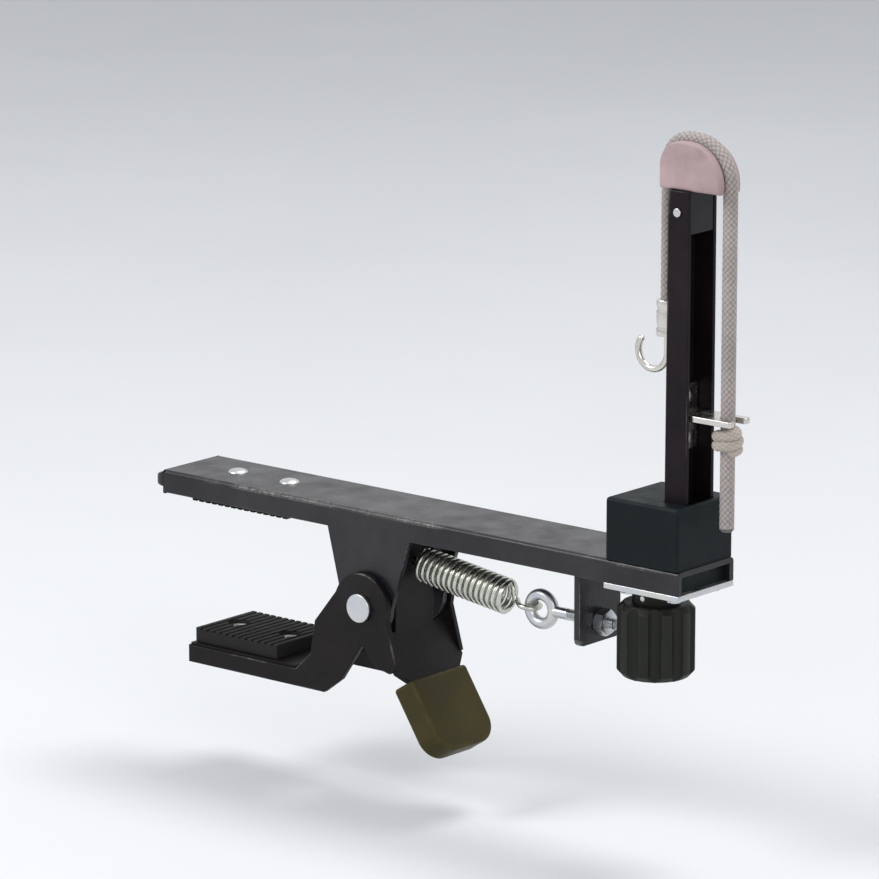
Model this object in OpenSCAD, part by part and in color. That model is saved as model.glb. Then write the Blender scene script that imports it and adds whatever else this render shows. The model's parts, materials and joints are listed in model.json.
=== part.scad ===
// Table tennis net clamp: a sprung clip that grips the table edge and carries one
// end of the net on a short post. Millimetres. +X points away from the table along
// the net line, +Y runs along the table edge, +Z is up. The origin is the centre of
// the upper pad's underside, so the table top is the plane z = 0.

/* [Table fit] */
// Distance from the upper pad's centre to the table edge
edge_x = 34; // [33:0.5:36]
// Gap between the two pads when the clip is closed
jaw_gap = 45; // [43:0.5:47]

/* [Arm] */
// Outer width of the channel arm
arm_w = 30; // [29:0.5:32]
// Height of the channel, web included
arm_h = 8; // [7:0.5:9]
// Thickness of the arm's sheet steel
arm_t = 2; // [1.6:0.1:2.4]
// Length of the arm outside the table edge
arm_reach = 160; // [146:0.5:180]
// Length of channel inside the table edge
arm_inside = 68; // [66:0.5:72]
// Radius of the round end of each pivot ear
ear_r = 11; // [10:0.25:11.5]
// Width of the ears where they leave the arm
ear_w = 38; // [36:0.5:40]
// Thickness of the stop plate and of the spring's anchor lug
lug_t = 2.5; // [2:0.1:3]
// Length of the plastic nose beyond the channel
nose_len = 14; // [10:0.5:18]

/* [Pads] */
// Length of the upper pad
upper_pad_len = 44; // [38:0.5:46]
// How far the upper pad stands below the channel's flanges
pad_proud = 1.5; // [1:0.1:2]
// Length of the lower pad
lower_pad_len = 38; // [32:0.5:40]
// Width of the lower pad
lower_pad_w = 30; // [26:0.5:31]
// Thickness of the lower pad
lower_pad_t = 5; // [4:0.25:6]
// Radius of the pads' rivets
pad_rivet_r = 2; // [1.6:0.1:2.2]
// Distance between the two rivets of a pad
pad_rivet_gap = 24; // [20:0.5:26]

/* [Clamp lever] */
// Height of the pivot below the table top
pivot_drop = 24; // [23:0.5:25]
// Distance from the table edge out to the pivot
pivot_out = 26; // [25:0.5:27]
// Radius of the pivot pin
pivot_r = 3; // [2.5:0.1:3.4]
// Thickness of the nylon washers between ear and cheek
pivot_washer_t = 1; // [0.8:0.1:1.2]
// Thickness of each cheek
cheek_t = 2; // [1.6:0.1:2.4]
// Radius of the cheeks round the pivot
cheek_r = 12; // [11.5:0.25:12.5]
// Depth of the claw's side rims
claw_rim = 7; // [6:0.5:8]
// Thickness of the lever's plate
lever_t = 2.5; // [2:0.1:2.8]
// Angle of the handle below the horizontal
handle_angle = 57; // [55:0.5:59]
// Length of the handle
handle_len = 44; // [41:0.5:48]
// Width of the handle
handle_w = 26; // [24:0.5:28]
// Depth of the handle's rolled rims
handle_rim = 4; // [3:0.25:5]
// Length of the handle's grip sleeve
grip_len = 26; // [22:0.5:27]
// Wall of the grip sleeve
grip_wall = 1.6; // [1.2:0.1:2]
// Width of the tab that the spring pulls
tab_w = 20; // [18:0.5:22]

/* [Spring] */
// Wire diameter of the tension spring
wire_d = 1.8; // [1.6:0.05:1.9]
// Outer diameter of the coil
coil_d = 12.5; // [11.5:0.1:13]
// Distance from one curl to the next
coil_pitch = 2.4; // [2.3:0.01:4]
// Height of the spring's hole below the table top
hook_drop = 9; // [8.5:0.1:9.5]
// Height of the eye bolt below the table top
eye_drop = 17; // [16.5:0.1:17.5]
// Thickness of the eye bolt's rod
eye_rod_d = 4; // [3.6:0.1:4.2]
// Middle diameter of the eye
eye_d = 10; // [9.6:0.1:10.6]
// Length of the eye bolt's shank
eye_shank = 27; // [24:0.5:30]

/* [Post socket] */
// Wall of the socket outside the post
socket_wall = 2.5; // [2:0.1:4]
// Distance from the post's centre in to the height screw
screw_in = 13; // [12.5:0.25:14]
// Length of the socket along the arm
socket_len = 30; // [28:0.5:33]
// Distance from the anchor lug to the socket
lug_gap = 13.5; // [12.5:0.5:20]
// Height of the socket above the arm
socket_h = 21; // [20:0.5:24]
// Thickness of the thrust plate under the arm
thrust_t = 2; // [1.6:0.1:2.4]
// Radius of the socket's screws
socket_screw_r = 1.25; // [1:0.05:1.5]

/* [Height adjuster] */
// Radius of the height screw
screw_r = 2.5; // [2.3:0.1:2.7]
// Radius of the screw's collar
collar_r = 4.5; // [4:0.1:5]
// Radius of the knob
knob_r = 13; // [12:0.25:13.5]
// Height of the knob's grip
knob_h = 25; // [22:0.5:28]
// Number of flutes round the knob
knob_flutes = 10; // [6:1:12]
// Radius of the knob's neck
neck_r = 8; // [7:0.25:9]
// Radius of the pin that locks the knob to the screw
knob_pin_r = 1; // [0.8:0.05:1.2]

/* [Post] */
// Width of the post along the table edge
post_w = 15; // [14.5:0.25:16.5]
// Depth of the post along the net
post_d = 9; // [8.5:0.1:9.2]
// Thickness of the post's sheet steel
post_t = 1.5; // [1.2:0.1:1.6]
// Height of the net cord's top above the table
net_height = 152.5; // [150:0.5:156]
// Distance from the post's centre out to the hanging cord
cord_out = 15.7; // [15:0.1:16.5]
// Radius of the cord's seat where the cord turns down outside
seat_out_r = 11; // [9:0.25:12]
// Radius of the cord's seat where the cord turns down on the net's side
seat_in_r = 6; // [5:0.25:7]
// Height of the cap's rims above the cord's seat
rim_h = 2.4; // [1.6:0.1:3]
// Width of the cap
cap_w = 12; // [11.5:0.25:14]

/* [Net cord] */
// Diameter of the net cord
cord_d = 5; // [4.4:0.1:5.2]
// Height of the cleat above the table
cleat_z = 58; // [56:0.5:62]
// Thickness of the cleat's sheet
cleat_t = 2; // [1.6:0.1:2.2]
// Radius of the knot
knot_r = 5.4; // [5:0.1:5.8]
// Radius of the ferrule at the cord's inner end
ferrule_r = 3.8; // [3.4:0.1:4.2]
// Length of the ferrule
ferrule_len = 12; // [10:0.5:14]
// Thickness of the hook's wire
hook_d = 2.4; // [2:0.1:2.8]
// Middle radius of the hook's bend
hook_r = 6; // [5:0.25:6.5]

/* [Hidden] */
$fn = 48;
eps = 0.01;          // how far a cut runs past the face that it opens
run_gap = 0.08;      // radial clearance of a turning fit
slide_gap = 0.1;     // clearance of a sliding fit, each side
touch_gap = 0.3;     // clearance between loose neighbours
rivet_gap = 0.02;    // clearance of a rivet in its hole

// Arm
arm_bottom = pad_proud;
arm_top = arm_bottom + arm_h;
web_under = arm_top - arm_t;
arm_start = edge_x - arm_inside;
arm_end = edge_x + arm_reach;
inner_w = arm_w - 2 * arm_t;

// Pad rivets: each sits in a well, so that its head stays clear of the table
pad_head_r = pad_rivet_r + 1.6;
pad_head_t = 1.2;
pad_well_r = pad_head_r + 0.4;
pad_well = 2.5;

// Nose
nose_plug = 8;
nose_tip_r = 7;
nose_tip_t = 3.2;
nose_lift = 0.8;

// Pivot
pivot_x = edge_x + pivot_out;
pivot_z = -pivot_drop;
cheek_in = arm_w / 2 + pivot_washer_t;
cheek_out = cheek_in + cheek_t;
cheek_mid = cheek_in + cheek_t / 2;
ear_lean = 1;        // the ears' root is this much nearer the post
ear_x = pivot_x + ear_lean;
pin_play = 0.1;      // end play of the pin outside the cheeks
pivot_head_r = pivot_r + 2;
pivot_head_t = 1.6;
pivot_washer_r = pivot_r + 4;
clip_t = 1;
clip_r = pivot_r + 1.8;
clip_groove_r = pivot_r - 0.6;
clip_groove_w = clip_t + 0.1;
clip_mouth = 4;
clip_y = cheek_out + pin_play;
pin_tail = 1.2;

// Claw
foot_top = -jaw_gap - lower_pad_t;
foot_start = -20;
rim_step = 0.8;      // the foot stands this far above its side rims
foot_end = edge_x - 4;
leg_x = edge_x + 3;
lower_pad_x = foot_start + 1 + lower_pad_len / 2;

// Lever tab and handle
tab_gap = 3.5;       // between the pivot pin and the tab
tab_x = pivot_x + pivot_r + tab_gap;
tab_top = 5;
root_drop = 10;
root_z = pivot_z - root_drop;
grip_corner = 8;
handle_corner = grip_corner - grip_wall;
handle_straight = handle_len - handle_corner;   // the rims end where the corners start
yoke_len = 14;
yoke_end = handle_len - grip_len;   // the handle has narrowed where the grip starts
hook_hole_r = wire_d / 2 + 0.5;
stop_x = tab_x + lever_t + touch_gap;
stop_bottom = -1;

// Post, socket and height screw
socket_inset = 0.5;  // from the arm's end to the socket
socket_end = arm_end - socket_inset;
socket_start = socket_end - socket_len;
post_in = socket_end - socket_wall - post_d;
post_x = post_in + post_d / 2;
screw_x = post_x - screw_in;
post_rest = 9;
thrust_bottom = arm_bottom - thrust_t;
collar_t = 2;
collar_top = arm_bottom + collar_t;
foot_h = 8;
foot_w = 12;
foot_wall = 2;       // between the screw's thread and the foot's end
foot_room = 1;       // clearance round the foot in its cavity
foot_len = screw_in + screw_r + foot_wall - post_d / 2;
foot_rivet_y = 3.2;
foot_rivet_z = post_rest + foot_h / 2 + 0.4;
foot_rivet_len = 3.5;
foot_head_r = 2.4;
cavity_w = foot_w + foot_room;
cavity_in = post_in - foot_len - foot_room;
socket_top = arm_top + socket_h;
socket_roof = 3;
cavity_top = socket_top - socket_roof;
window_margin = 2;
window_start = socket_start + window_margin;
window_end = socket_end - window_margin;
screw_end_z = cavity_top - foot_room;
socket_screw_y = inner_w / 2 - 2.4;
socket_screw_x = [socket_start + 6.5, socket_end - 4.5];
socket_screw_len = 5;
socket_head_r = socket_screw_r + 1.1;
socket_head_t = 1.3;
thrust_margin = 0.5;

// Anchor
nut_across = 8;
nut_t = 4;
shank_tail = 3;
lug_x = socket_start - lug_gap - lug_t;
lug_w = 22;
shank_end = lug_x + lug_t + nut_t + shank_tail;
shank_start = shank_end - eye_shank;
eye_x = shank_start - eye_d / 2;
eye_z = -eye_drop;
lug_bottom = eye_z - 7;

// Spring line, from the tab's hole to the eye
coil_r = (coil_d - wire_d) / 2;
hook_in_x = tab_x - wire_d / 2 - touch_gap;
hook_z = -hook_drop;
eye_bar_x = eye_x - eye_d / 2;
grip_x = eye_bar_x + eye_rod_d / 2 + wire_d / 2 + touch_gap;
line_run = grip_x - hook_in_x;
line_drop = hook_z - eye_z;
line_len = sqrt(line_run * line_run + line_drop * line_drop);
line_tilt = atan2(line_drop, line_run);
stop_clear = 1.2;    // from the stop plate to the first curl
hook_up = 4.5;
leg_bend = 1.6;
coil_neck = 3.4;
hook_bend_r = 3.6;
hook_tail = 2.4;
coil_start = stop_x + lug_t + stop_clear - hook_in_x;
coil_end = line_len - 2 * hook_bend_r - leg_bend - coil_neck;
coil_len = coil_end - coil_start;
curls = floor(coil_len / coil_pitch);
ring_per_curl = 8;
hook_hole_z = hook_z - (tab_x + lever_t / 2 - hook_in_x) * tan(line_tilt);

// Knob
knob_washer_t = 1;
washer_play = 0.1;
neck_top = thrust_bottom - knob_washer_t - 2 * washer_play;
neck_h = 4.5;
knob_top = neck_top - neck_h;
knob_bottom = knob_top - knob_h;
knob_bevel = 2;
knob_floor = 6;
stem_end = knob_bottom + knob_floor;
flute_r = 2.4;
flute_out = 0.6;     // the flutes' centres stand this far outside the knob
knob_pin_z = knob_top + neck_h / 2;
knob_pin_sunk = 0.4;

// Cap and cord
cord_r = cord_d / 2;
cord_room = 0.2;
cord_off = cord_r + cord_room;      // from the seat to the cord's middle line
seat_top = net_height - cord_r - cord_off;
cord_out_x = post_x + cord_out;
cord_in_gap = 1;     // from the post's inner face to the ferrule
cord_in_x = post_in - cord_in_gap - ferrule_r;
seat_out_x = cord_out_x - cord_off - seat_out_r;
seat_out_z = seat_top - seat_out_r;
seat_in_x = cord_in_x + cord_off + seat_in_r;
seat_in_z = seat_top - seat_in_r;
cap_drop = 2.5;      // the cap's rims end this far below the outer bend
post_top = seat_out_z - cap_drop;
cap_skirt = 14;
cap_pin_r = 1.5;
cap_pin_out = 0.6;
cap_pin_z = post_top - cap_skirt / 2;
groove_w = cord_d + touch_gap * 2;
cord_sides = 8;
tail_end_z = 22;
cord_in_end_z = 96;
cord_rise = 9;       // spacing of the cord's rings along its straight runs
cap_rings = 7;       // steps of the cord round each bend of the cap
cap_facets = 18;     // facets of each bend of the cap
cleat_base_h = 22;
cleat_w = post_w - 2 * post_t - 2 * touch_gap;
cleat_lip = 2.5;
cleat_end = cord_out_x + cord_r + cleat_lip;
cleat_rivet_r = 1.5;
cleat_rivet_dz = 7;
cleat_head_r = cleat_rivet_r + 1;
cleat_head_t = 1;
hook_neck = 6;
knot_z = cleat_z - knot_r - touch_gap;

// ---------------------------------------------------------------- helpers

// A side view outline (x, z) given thickness from y0 to y1.
module side_plate(y0, y1) {
    translate([0, y1, 0]) rotate([90, 0, 0]) linear_extrude(y1 - y0) children();
}

// A block by its two opposite corners.
module block(low, high) {
    translate(low) cube(high - low);
}

// A rod along Y centred on x, z.
module rod_y(x, z, r, y0, y1) {
    translate([x, y1, z]) rotate([90, 0, 0]) cylinder(h = y1 - y0, r = r);
}

// A rod along X centred on y, z.
module rod_x(x0, x1, y, z, r) {
    translate([x0, y, z]) rotate([0, 90, 0]) cylinder(h = x1 - x0, r = r);
}

// A rod along Z centred on x, y.
module rod_z(x, y, r, z0, z1) {
    translate([x, y, z0]) cylinder(h = z1 - z0, r = r);
}

// Both sides of the middle plane.
module both_sides() {
    children();
    mirror([0, 1, 0]) children();
}

// A hexagonal nut round a rod along X.
module nut_x(x0, t, z, bore) {
    difference() {
        translate([x0, 0, z]) rotate([0, 90, 0])
            cylinder(h = t, r = nut_across / 2 / cos(30), $fn = 6);
        rod_x(x0 - eps, x0 + t + eps, 0, z, bore);
    }
}

function unit(v) = v / norm(v);
function turned(v, axis, c, s) = v * c + cross(axis, v) * s + axis * (axis * v) * (1 - c);

// A round tube along a path of points. Each ring is square to the path, and the
// rings are carried along without twist, so the tube is one unbroken skin.
function tangent(p, i) =
    i == 0 ? unit(p[1] - p[0])
    : i == len(p) - 1 ? unit(p[i] - p[i - 1])
    : unit(unit(p[i + 1] - p[i]) + unit(p[i] - p[i - 1]));
function carried(side, t0, t1) =
    let (axis = cross(t0, t1), s = norm(axis))
    s < 1e-6 ? side : turned(side, axis / s, t0 * t1, s);
function sides_along(p, first, i = 1, done = []) =
    i == 1 && len(done) == 0 ? sides_along(p, first, 1, [first])
    : i >= len(p) ? done
    : sides_along(p, first, i + 1,
        concat(done, [carried(done[i - 1], tangent(p, i - 1), tangent(p, i))]));

module tube(p, r, n, first) {
    u = sides_along(p, first);
    points = [
        for (i = [0 : len(p) - 1])
            let (t = tangent(p, i), a = unit(u[i] - t * (u[i] * t)), b = cross(t, a))
            for (k = [0 : n - 1])
                p[i] + r * (a * cos(360 * k / n) + b * sin(360 * k / n))
    ];
    last = n * (len(p) - 1);
    faces = concat(
        [[for (k = [0 : n - 1]) k]],
        [[for (k = [0 : n - 1]) last + n - 1 - k]],
        [
            for (i = [0 : len(p) - 2], k = [0 : n - 1])
                let (a = i * n + k, b = i * n + (k + 1) % n)
                [a, a + n, b + n, b]
        ]
    );
    polyhedron(points, faces);
}

// ---------------------------------------------------------------- arm

module ear_outline() {
    translate([pivot_x, pivot_z]) circle(r = ear_r);
    polygon([
        [ear_x - ear_w / 2, arm_bottom + arm_t],
        [ear_x + ear_w / 2, arm_bottom + arm_t],
        [pivot_x + ear_r, pivot_z],
        [pivot_x - ear_r, pivot_z]
    ]);
}

module arm_profile_cut() {
    block([window_start, -inner_w / 2, web_under - eps], [window_end, inner_w / 2, arm_top + eps]);
    for (x = [-pad_rivet_gap / 2, pad_rivet_gap / 2])
        rod_z(x, 0, pad_rivet_r + rivet_gap, web_under - eps, arm_top + eps);
    rod_y(pivot_x, pivot_z, pivot_r + run_gap, -arm_w / 2 - eps, arm_w / 2 + eps);
}

module anchor_lug() {
    difference() {
        block([lug_x, -lug_w / 2, lug_bottom], [lug_x + lug_t, lug_w / 2, web_under + eps]);
        rod_x(lug_x - eps, lug_x + lug_t + eps, 0, eye_z, eye_rod_d / 2 + run_gap);
    }
}

module arm() {
    color("dimgray") {
        difference() {
            union() {
                block([arm_start, -arm_w / 2, web_under], [arm_end, arm_w / 2, arm_top]);
                both_sides() {
                    block([arm_start, inner_w / 2, arm_bottom], [arm_end, arm_w / 2, arm_top]);
                    side_plate(inner_w / 2, arm_w / 2) ear_outline();
                }
            }
            arm_profile_cut();
        }
        block([stop_x, -inner_w / 2 - eps, stop_bottom], [stop_x + lug_t, inner_w / 2 + eps, web_under + eps]);
        anchor_lug();
    }
}

module nose_cap() {
    color([0.1, 0.1, 0.11]) {
        // plug inside the channel
        block([arm_start, -inner_w / 2 + slide_gap, arm_bottom],
              [arm_start + nose_plug, inner_w / 2 - slide_gap, web_under - slide_gap]);
        // wedge in front of it
        intersection() {
            translate([0, 0, nose_lift]) linear_extrude(arm_top - nose_lift) nose_plan();
            side_plate(-arm_w / 2, arm_w / 2) polygon([
                [arm_start, nose_lift],
                [arm_start, arm_top],
                [arm_start - nose_len, nose_lift + nose_tip_t],
                [arm_start - nose_len, nose_lift]
            ]);
        }
    }
}

module nose_plan() {
    tip_x = arm_start - nose_len + nose_tip_r;
    translate([tip_x, 0]) circle(r = nose_tip_r);
    polygon([
        [arm_start, -arm_w / 2], [arm_start, arm_w / 2],
        [tip_x, nose_tip_r], [tip_x, -nose_tip_r]
    ]);
}

module upper_pad() {
    color([0.16, 0.16, 0.16]) difference() {
        block([-upper_pad_len / 2, -inner_w / 2 + slide_gap, 0],
              [upper_pad_len / 2, inner_w / 2 - slide_gap, web_under]);
        for (x = [-pad_rivet_gap / 2, pad_rivet_gap / 2]) {
            rod_z(x, 0, pad_rivet_r + rivet_gap, 0, web_under + eps);
            rod_z(x, 0, pad_well_r, -eps, pad_well);
        }
    }
}

module pad_rivet(z0, z1) {
    rod_z(0, 0, pad_rivet_r, z0 - pad_head_t / 2, z1 + pad_head_t / 2);
    translate([0, 0, z1]) cylinder(h = pad_head_t, r1 = pad_head_r, r2 = pad_rivet_r);
    rod_z(0, 0, pad_head_r, z0 - pad_head_t, z0);
}

module upper_pad_rivets() {
    color("silver") for (x = [-pad_rivet_gap / 2, pad_rivet_gap / 2])
        translate([x, 0, 0]) pad_rivet(pad_well, arm_top);
}

// ---------------------------------------------------------------- pivot

module pivot_pin() {
    color("silver") difference() {
        union() {
            rod_y(pivot_x, pivot_z, pivot_r, -cheek_out - pin_play, clip_y + clip_groove_w + pin_tail);
            rod_y(pivot_x, pivot_z, pivot_head_r, -cheek_out - pin_play - pivot_head_t, -cheek_out - pin_play);
        }
        difference() {
            rod_y(pivot_x, pivot_z, pivot_r + 1, clip_y, clip_y + clip_groove_w);
            rod_y(pivot_x, pivot_z, clip_groove_r, clip_y - eps, clip_y + clip_groove_w + eps);
        }
    }
}

module pivot_clip() {
    color("silver") difference() {
        rod_y(pivot_x, pivot_z, clip_r, clip_y + 0.05, clip_y + 0.05 + clip_t);
        rod_y(pivot_x, pivot_z, clip_groove_r + rivet_gap, clip_y - 1, clip_y + clip_t + 1);
        // mouth of the clip
        block([pivot_x - clip_mouth / 2, clip_y - 1, pivot_z - clip_r - 1],
              [pivot_x + clip_mouth / 2, clip_y + clip_t + 1, pivot_z]);
    }
}

module pivot_washers() {
    color([0.85, 0.85, 0.8]) both_sides() difference() {
        rod_y(pivot_x, pivot_z, pivot_washer_r, arm_w / 2 + 0.05, cheek_in - 0.05);
        rod_y(pivot_x, pivot_z, pivot_r + run_gap, arm_w / 2 - 1, cheek_in + 1);
    }
}

// ---------------------------------------------------------------- lever

module cheek_outline() {
    translate([pivot_x, pivot_z]) circle(r = cheek_r);
    // claw: down past the table edge and in under it
    polygon([
        [foot_start, foot_top - claw_rim],
        [foot_start, foot_top - rim_step],
        [foot_end, foot_top - rim_step],
        [leg_x, foot_top + 6],
        [leg_x + 2, pivot_z - 8],
        [pivot_x - cheek_r * 0.68, pivot_z + cheek_r * 0.66],
        [pivot_x + 3, pivot_z - cheek_r * 0.8],
        [leg_x + 14, foot_top - 1],
        [leg_x + 6, foot_top - claw_rim]
    ]);
    // root of the handle
    polygon([
        [pivot_x + cheek_r * 0.9, pivot_z - 1],
        yoke_point(yoke_len - 1, lever_t + 0.4),
        yoke_point(yoke_len - 1, -1),
        yoke_point(yoke_len - 5, -5),
        [pivot_x - 4, pivot_z - cheek_r * 0.8]
    ]);
}

// A point of the side view, given along the handle and out from its inner face.
function yoke_point(along, out) = [
    tab_x + along * cos(handle_angle) + out * sin(handle_angle),
    root_z - along * sin(handle_angle) + out * cos(handle_angle)
];

module handle_frame() {
    translate([tab_x, 0, root_z]) rotate([0, handle_angle, 0]) children();
}

// The handle's free end in plan, with two rounded corners, wider all round by grow.
module handle_end(start, grow) {
    corner = handle_corner + grow;
    translate([start, -handle_w / 2 - grow]) square([handle_straight - start, handle_w + 2 * grow]);
    translate([handle_straight, -handle_w / 2 + handle_corner])
        square([corner, handle_w - 2 * handle_corner]);
    for (s = [-1, 1])
        translate([handle_straight, s * (handle_w / 2 - handle_corner)]) circle(r = corner);
}

module handle_plate() {
    handle_frame() {
        linear_extrude(lever_t) {
            polygon([
                [0, -cheek_mid], [yoke_len, -cheek_mid],
                [yoke_end, -handle_w / 2], [yoke_end + 1, -handle_w / 2],
                [yoke_end + 1, handle_w / 2], [yoke_end, handle_w / 2],
                [yoke_len, cheek_mid], [0, cheek_mid]
            ]);
            handle_end(yoke_end, 0);
        }
        both_sides() block([yoke_end + 0.5, handle_w / 2 - cheek_t, -handle_rim],
                           [handle_straight, handle_w / 2, lever_t / 2]);
    }
}

module clamp_lever() {
    color([0.15, 0.14, 0.15]) difference() {
        union() {
            both_sides() side_plate(cheek_in, cheek_out) cheek_outline();
            // foot under the table
            block([foot_start + 0.5, -cheek_mid, foot_top - lever_t], [foot_end - 1, cheek_mid, foot_top]);
            handle_plate();
            // tab that the spring pulls, bent up from the handle
            side_plate(-tab_w / 2, tab_w / 2) polygon([
                [tab_x, tab_top], [tab_x + lever_t, tab_top],
                [tab_x + lever_t, root_z + 1], yoke_point(5, lever_t - 0.3),
                yoke_point(5, 0.3), yoke_point(0.5, 0.3), [tab_x, root_z + 0.5]
            ]);
        }
        rod_y(pivot_x, pivot_z, pivot_r + run_gap, -cheek_out - 1, cheek_out + 1);
        rod_x(tab_x - 1, tab_x + lever_t + 1, 0, hook_hole_z, hook_hole_r);
        for (x = [-pad_rivet_gap / 2, pad_rivet_gap / 2])
            rod_z(lower_pad_x + x, 0, pad_rivet_r + rivet_gap, foot_top - lever_t - 1, foot_top + 1);
    }
}

module handle_grip() {
    slot = 0.05;
    color([0.13, 0.13, 0.11]) handle_frame() difference() {
        translate([0, 0, -handle_rim - grip_wall])
            linear_extrude(handle_rim + lever_t + 2 * grip_wall) handle_end(yoke_end, grip_wall);
        // seat for the plate and its two rims
        translate([0, 0, -slot]) linear_extrude(lever_t + 2 * slot) handle_end(yoke_end - 1, slot);
        both_sides() block([yoke_end - 1, handle_w / 2 - cheek_t - slot, -handle_rim - slot],
                           [handle_straight + slot, handle_w / 2 + slot, lever_t]);
    }
}

module lower_pad() {
    color([0.16, 0.16, 0.16]) difference() {
        block([lower_pad_x - lower_pad_len / 2, -lower_pad_w / 2, foot_top],
              [lower_pad_x + lower_pad_len / 2, lower_pad_w / 2, -jaw_gap]);
        for (x = [-pad_rivet_gap / 2, pad_rivet_gap / 2]) {
            rod_z(lower_pad_x + x, 0, pad_rivet_r + rivet_gap, foot_top - 1, -jaw_gap + 1);
            rod_z(lower_pad_x + x, 0, pad_well_r, -jaw_gap - pad_well, -jaw_gap + 1);
        }
    }
}

module lower_pad_rivets() {
    color("silver") for (x = [-pad_rivet_gap / 2, pad_rivet_gap / 2])
        translate([lower_pad_x + x, 0, 0]) mirror([0, 0, 1])
            pad_rivet(jaw_gap + pad_well, -foot_top + lever_t);
}

// ---------------------------------------------------------------- spring and anchor

// The spring's line in its own frame: +X from the tab towards the eye.
coil_steps = curls * ring_per_curl;
coil_points = [
    for (i = [0 : coil_steps])
        let (a = 360 * i / ring_per_curl)
        [coil_start + coil_len * i / coil_steps, coil_r * sin(a), coil_r * cos(a)]
];
spring_path = concat(
    [
        [-hook_up * tan(line_tilt), 0, hook_up],
        [-leg_bend * tan(line_tilt), 0, leg_bend],
        [0.3 * leg_bend, 0, 0.3 * leg_bend],
        [leg_bend, 0, 0],
        [coil_start - coil_neck, 0, 0],
        [coil_start - 0.7 * coil_neck, 0, 0.12 * coil_neck],
        [coil_start - 0.53 * coil_neck, 0, 0.47 * coil_neck]
    ],
    coil_points,
    [
        [coil_end + 0.53 * coil_neck, 0, 0.47 * coil_neck],
        [coil_end + 0.7 * coil_neck, 0, 0.12 * coil_neck],
        [coil_end + coil_neck, 0, 0],
        [line_len - 2 * hook_bend_r, -hook_bend_r * 0.45, 0],
        [line_len - 1.5 * hook_bend_r, -hook_bend_r * 0.93, 0]
    ],
    [
        for (a = [-90 : 22.5 : 90])
            [line_len - hook_bend_r + hook_bend_r * cos(a), hook_bend_r * sin(a), 0]
    ],
    [[line_len - hook_bend_r - hook_tail, hook_bend_r, 0]]
);

// Least gap between stretches of the spring that aren't neighbours on its path.
spring_gap = min([
    for (i = [0 : len(spring_path) - 1], j = [i + 5 : 1 : len(spring_path) - 1])
        norm(spring_path[i] - spring_path[j])
]) - wire_d;
echo(spring_gap = spring_gap);

module tension_spring() {
    color("gainsboro") translate([hook_in_x, 0, hook_z]) rotate([0, line_tilt, 0])
        tube(spring_path, wire_d / 2, 6, [1, 0, 0]);
}

module eye_bolt() {
    color("gainsboro") {
        translate([eye_x, 0, eye_z]) rotate([90, 0, 0])
            rotate_extrude() translate([eye_d / 2, 0]) circle(r = eye_rod_d / 2);
        rod_x(shank_start, shank_end, 0, eye_z, eye_rod_d / 2);
    }
}

module eye_bolt_nuts() {
    color("gainsboro") {
        nut_x(lug_x - nut_t, nut_t, eye_z, eye_rod_d / 2 + rivet_gap);
        nut_x(lug_x + lug_t, nut_t, eye_z, eye_rod_d / 2 + rivet_gap);
    }
}

// ---------------------------------------------------------------- socket

module post_socket() {
    color([0.18, 0.19, 0.2]) difference() {
        union() {
            block([socket_start, -arm_w / 2, arm_top], [socket_end, arm_w / 2, socket_top]);
            block([window_start + slide_gap, -inner_w / 2 + slide_gap, arm_bottom],
                  [window_end - slide_gap, inner_w / 2 - slide_gap, arm_top + eps]);
        }
        // guide for the post, open right through
        block([post_in - slide_gap, -post_w / 2 - slide_gap, arm_bottom - 1],
              [post_in + post_d + slide_gap, post_w / 2 + slide_gap, socket_top + 1]);
        // room for the foot, closed above
        block([cavity_in, -cavity_w / 2, arm_bottom - 1], [post_in + eps, cavity_w / 2, cavity_top]);
        socket_screw_holes(arm_bottom - 1, arm_top + socket_screw_len + 1, socket_screw_r + rivet_gap);
    }
}

module socket_screw_holes(z0, z1, r) {
    for (x = socket_screw_x, y = [-socket_screw_y, socket_screw_y]) rod_z(x, y, r, z0, z1);
}

module thrust_plate() {
    color("silver") difference() {
        block([socket_start - thrust_margin, -arm_w / 2, thrust_bottom],
              [arm_end, arm_w / 2, arm_bottom]);
        rod_z(screw_x, 0, screw_r + run_gap, thrust_bottom - 1, arm_bottom + 1);
        socket_screw_holes(thrust_bottom - 1, arm_bottom + 1, socket_screw_r + rivet_gap);
    }
}

module socket_screws() {
    color("silver") for (x = socket_screw_x, y = [-socket_screw_y, socket_screw_y]) {
        rod_z(x, y, socket_screw_r, thrust_bottom, arm_top + socket_screw_len);
        difference() {
            rod_z(x, y, socket_head_r, thrust_bottom - socket_head_t, thrust_bottom);
            // slot for the driver
            block([x - 0.3, y - socket_head_r - 1, thrust_bottom - socket_head_t - 1],
                  [x + 0.3, y + socket_head_r + 1, thrust_bottom - socket_head_t / 2]);
        }
    }
}

// ---------------------------------------------------------------- height adjuster

module height_screw() {
    color("silver") difference() {
        union() {
            rod_z(screw_x, 0, screw_r, stem_end, screw_end_z);
            rod_z(screw_x, 0, collar_r, arm_bottom, collar_top);
        }
        rod_y(screw_x, knob_pin_z, knob_pin_r + rivet_gap, -collar_r, collar_r);
    }
}

module knob_washer() {
    color([0.85, 0.85, 0.8]) difference() {
        rod_z(screw_x, 0, neck_r, neck_top + washer_play, thrust_bottom - washer_play);
        rod_z(screw_x, 0, screw_r + run_gap, thrust_bottom - knob_washer_t - 1, thrust_bottom + 1);
    }
}

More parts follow.
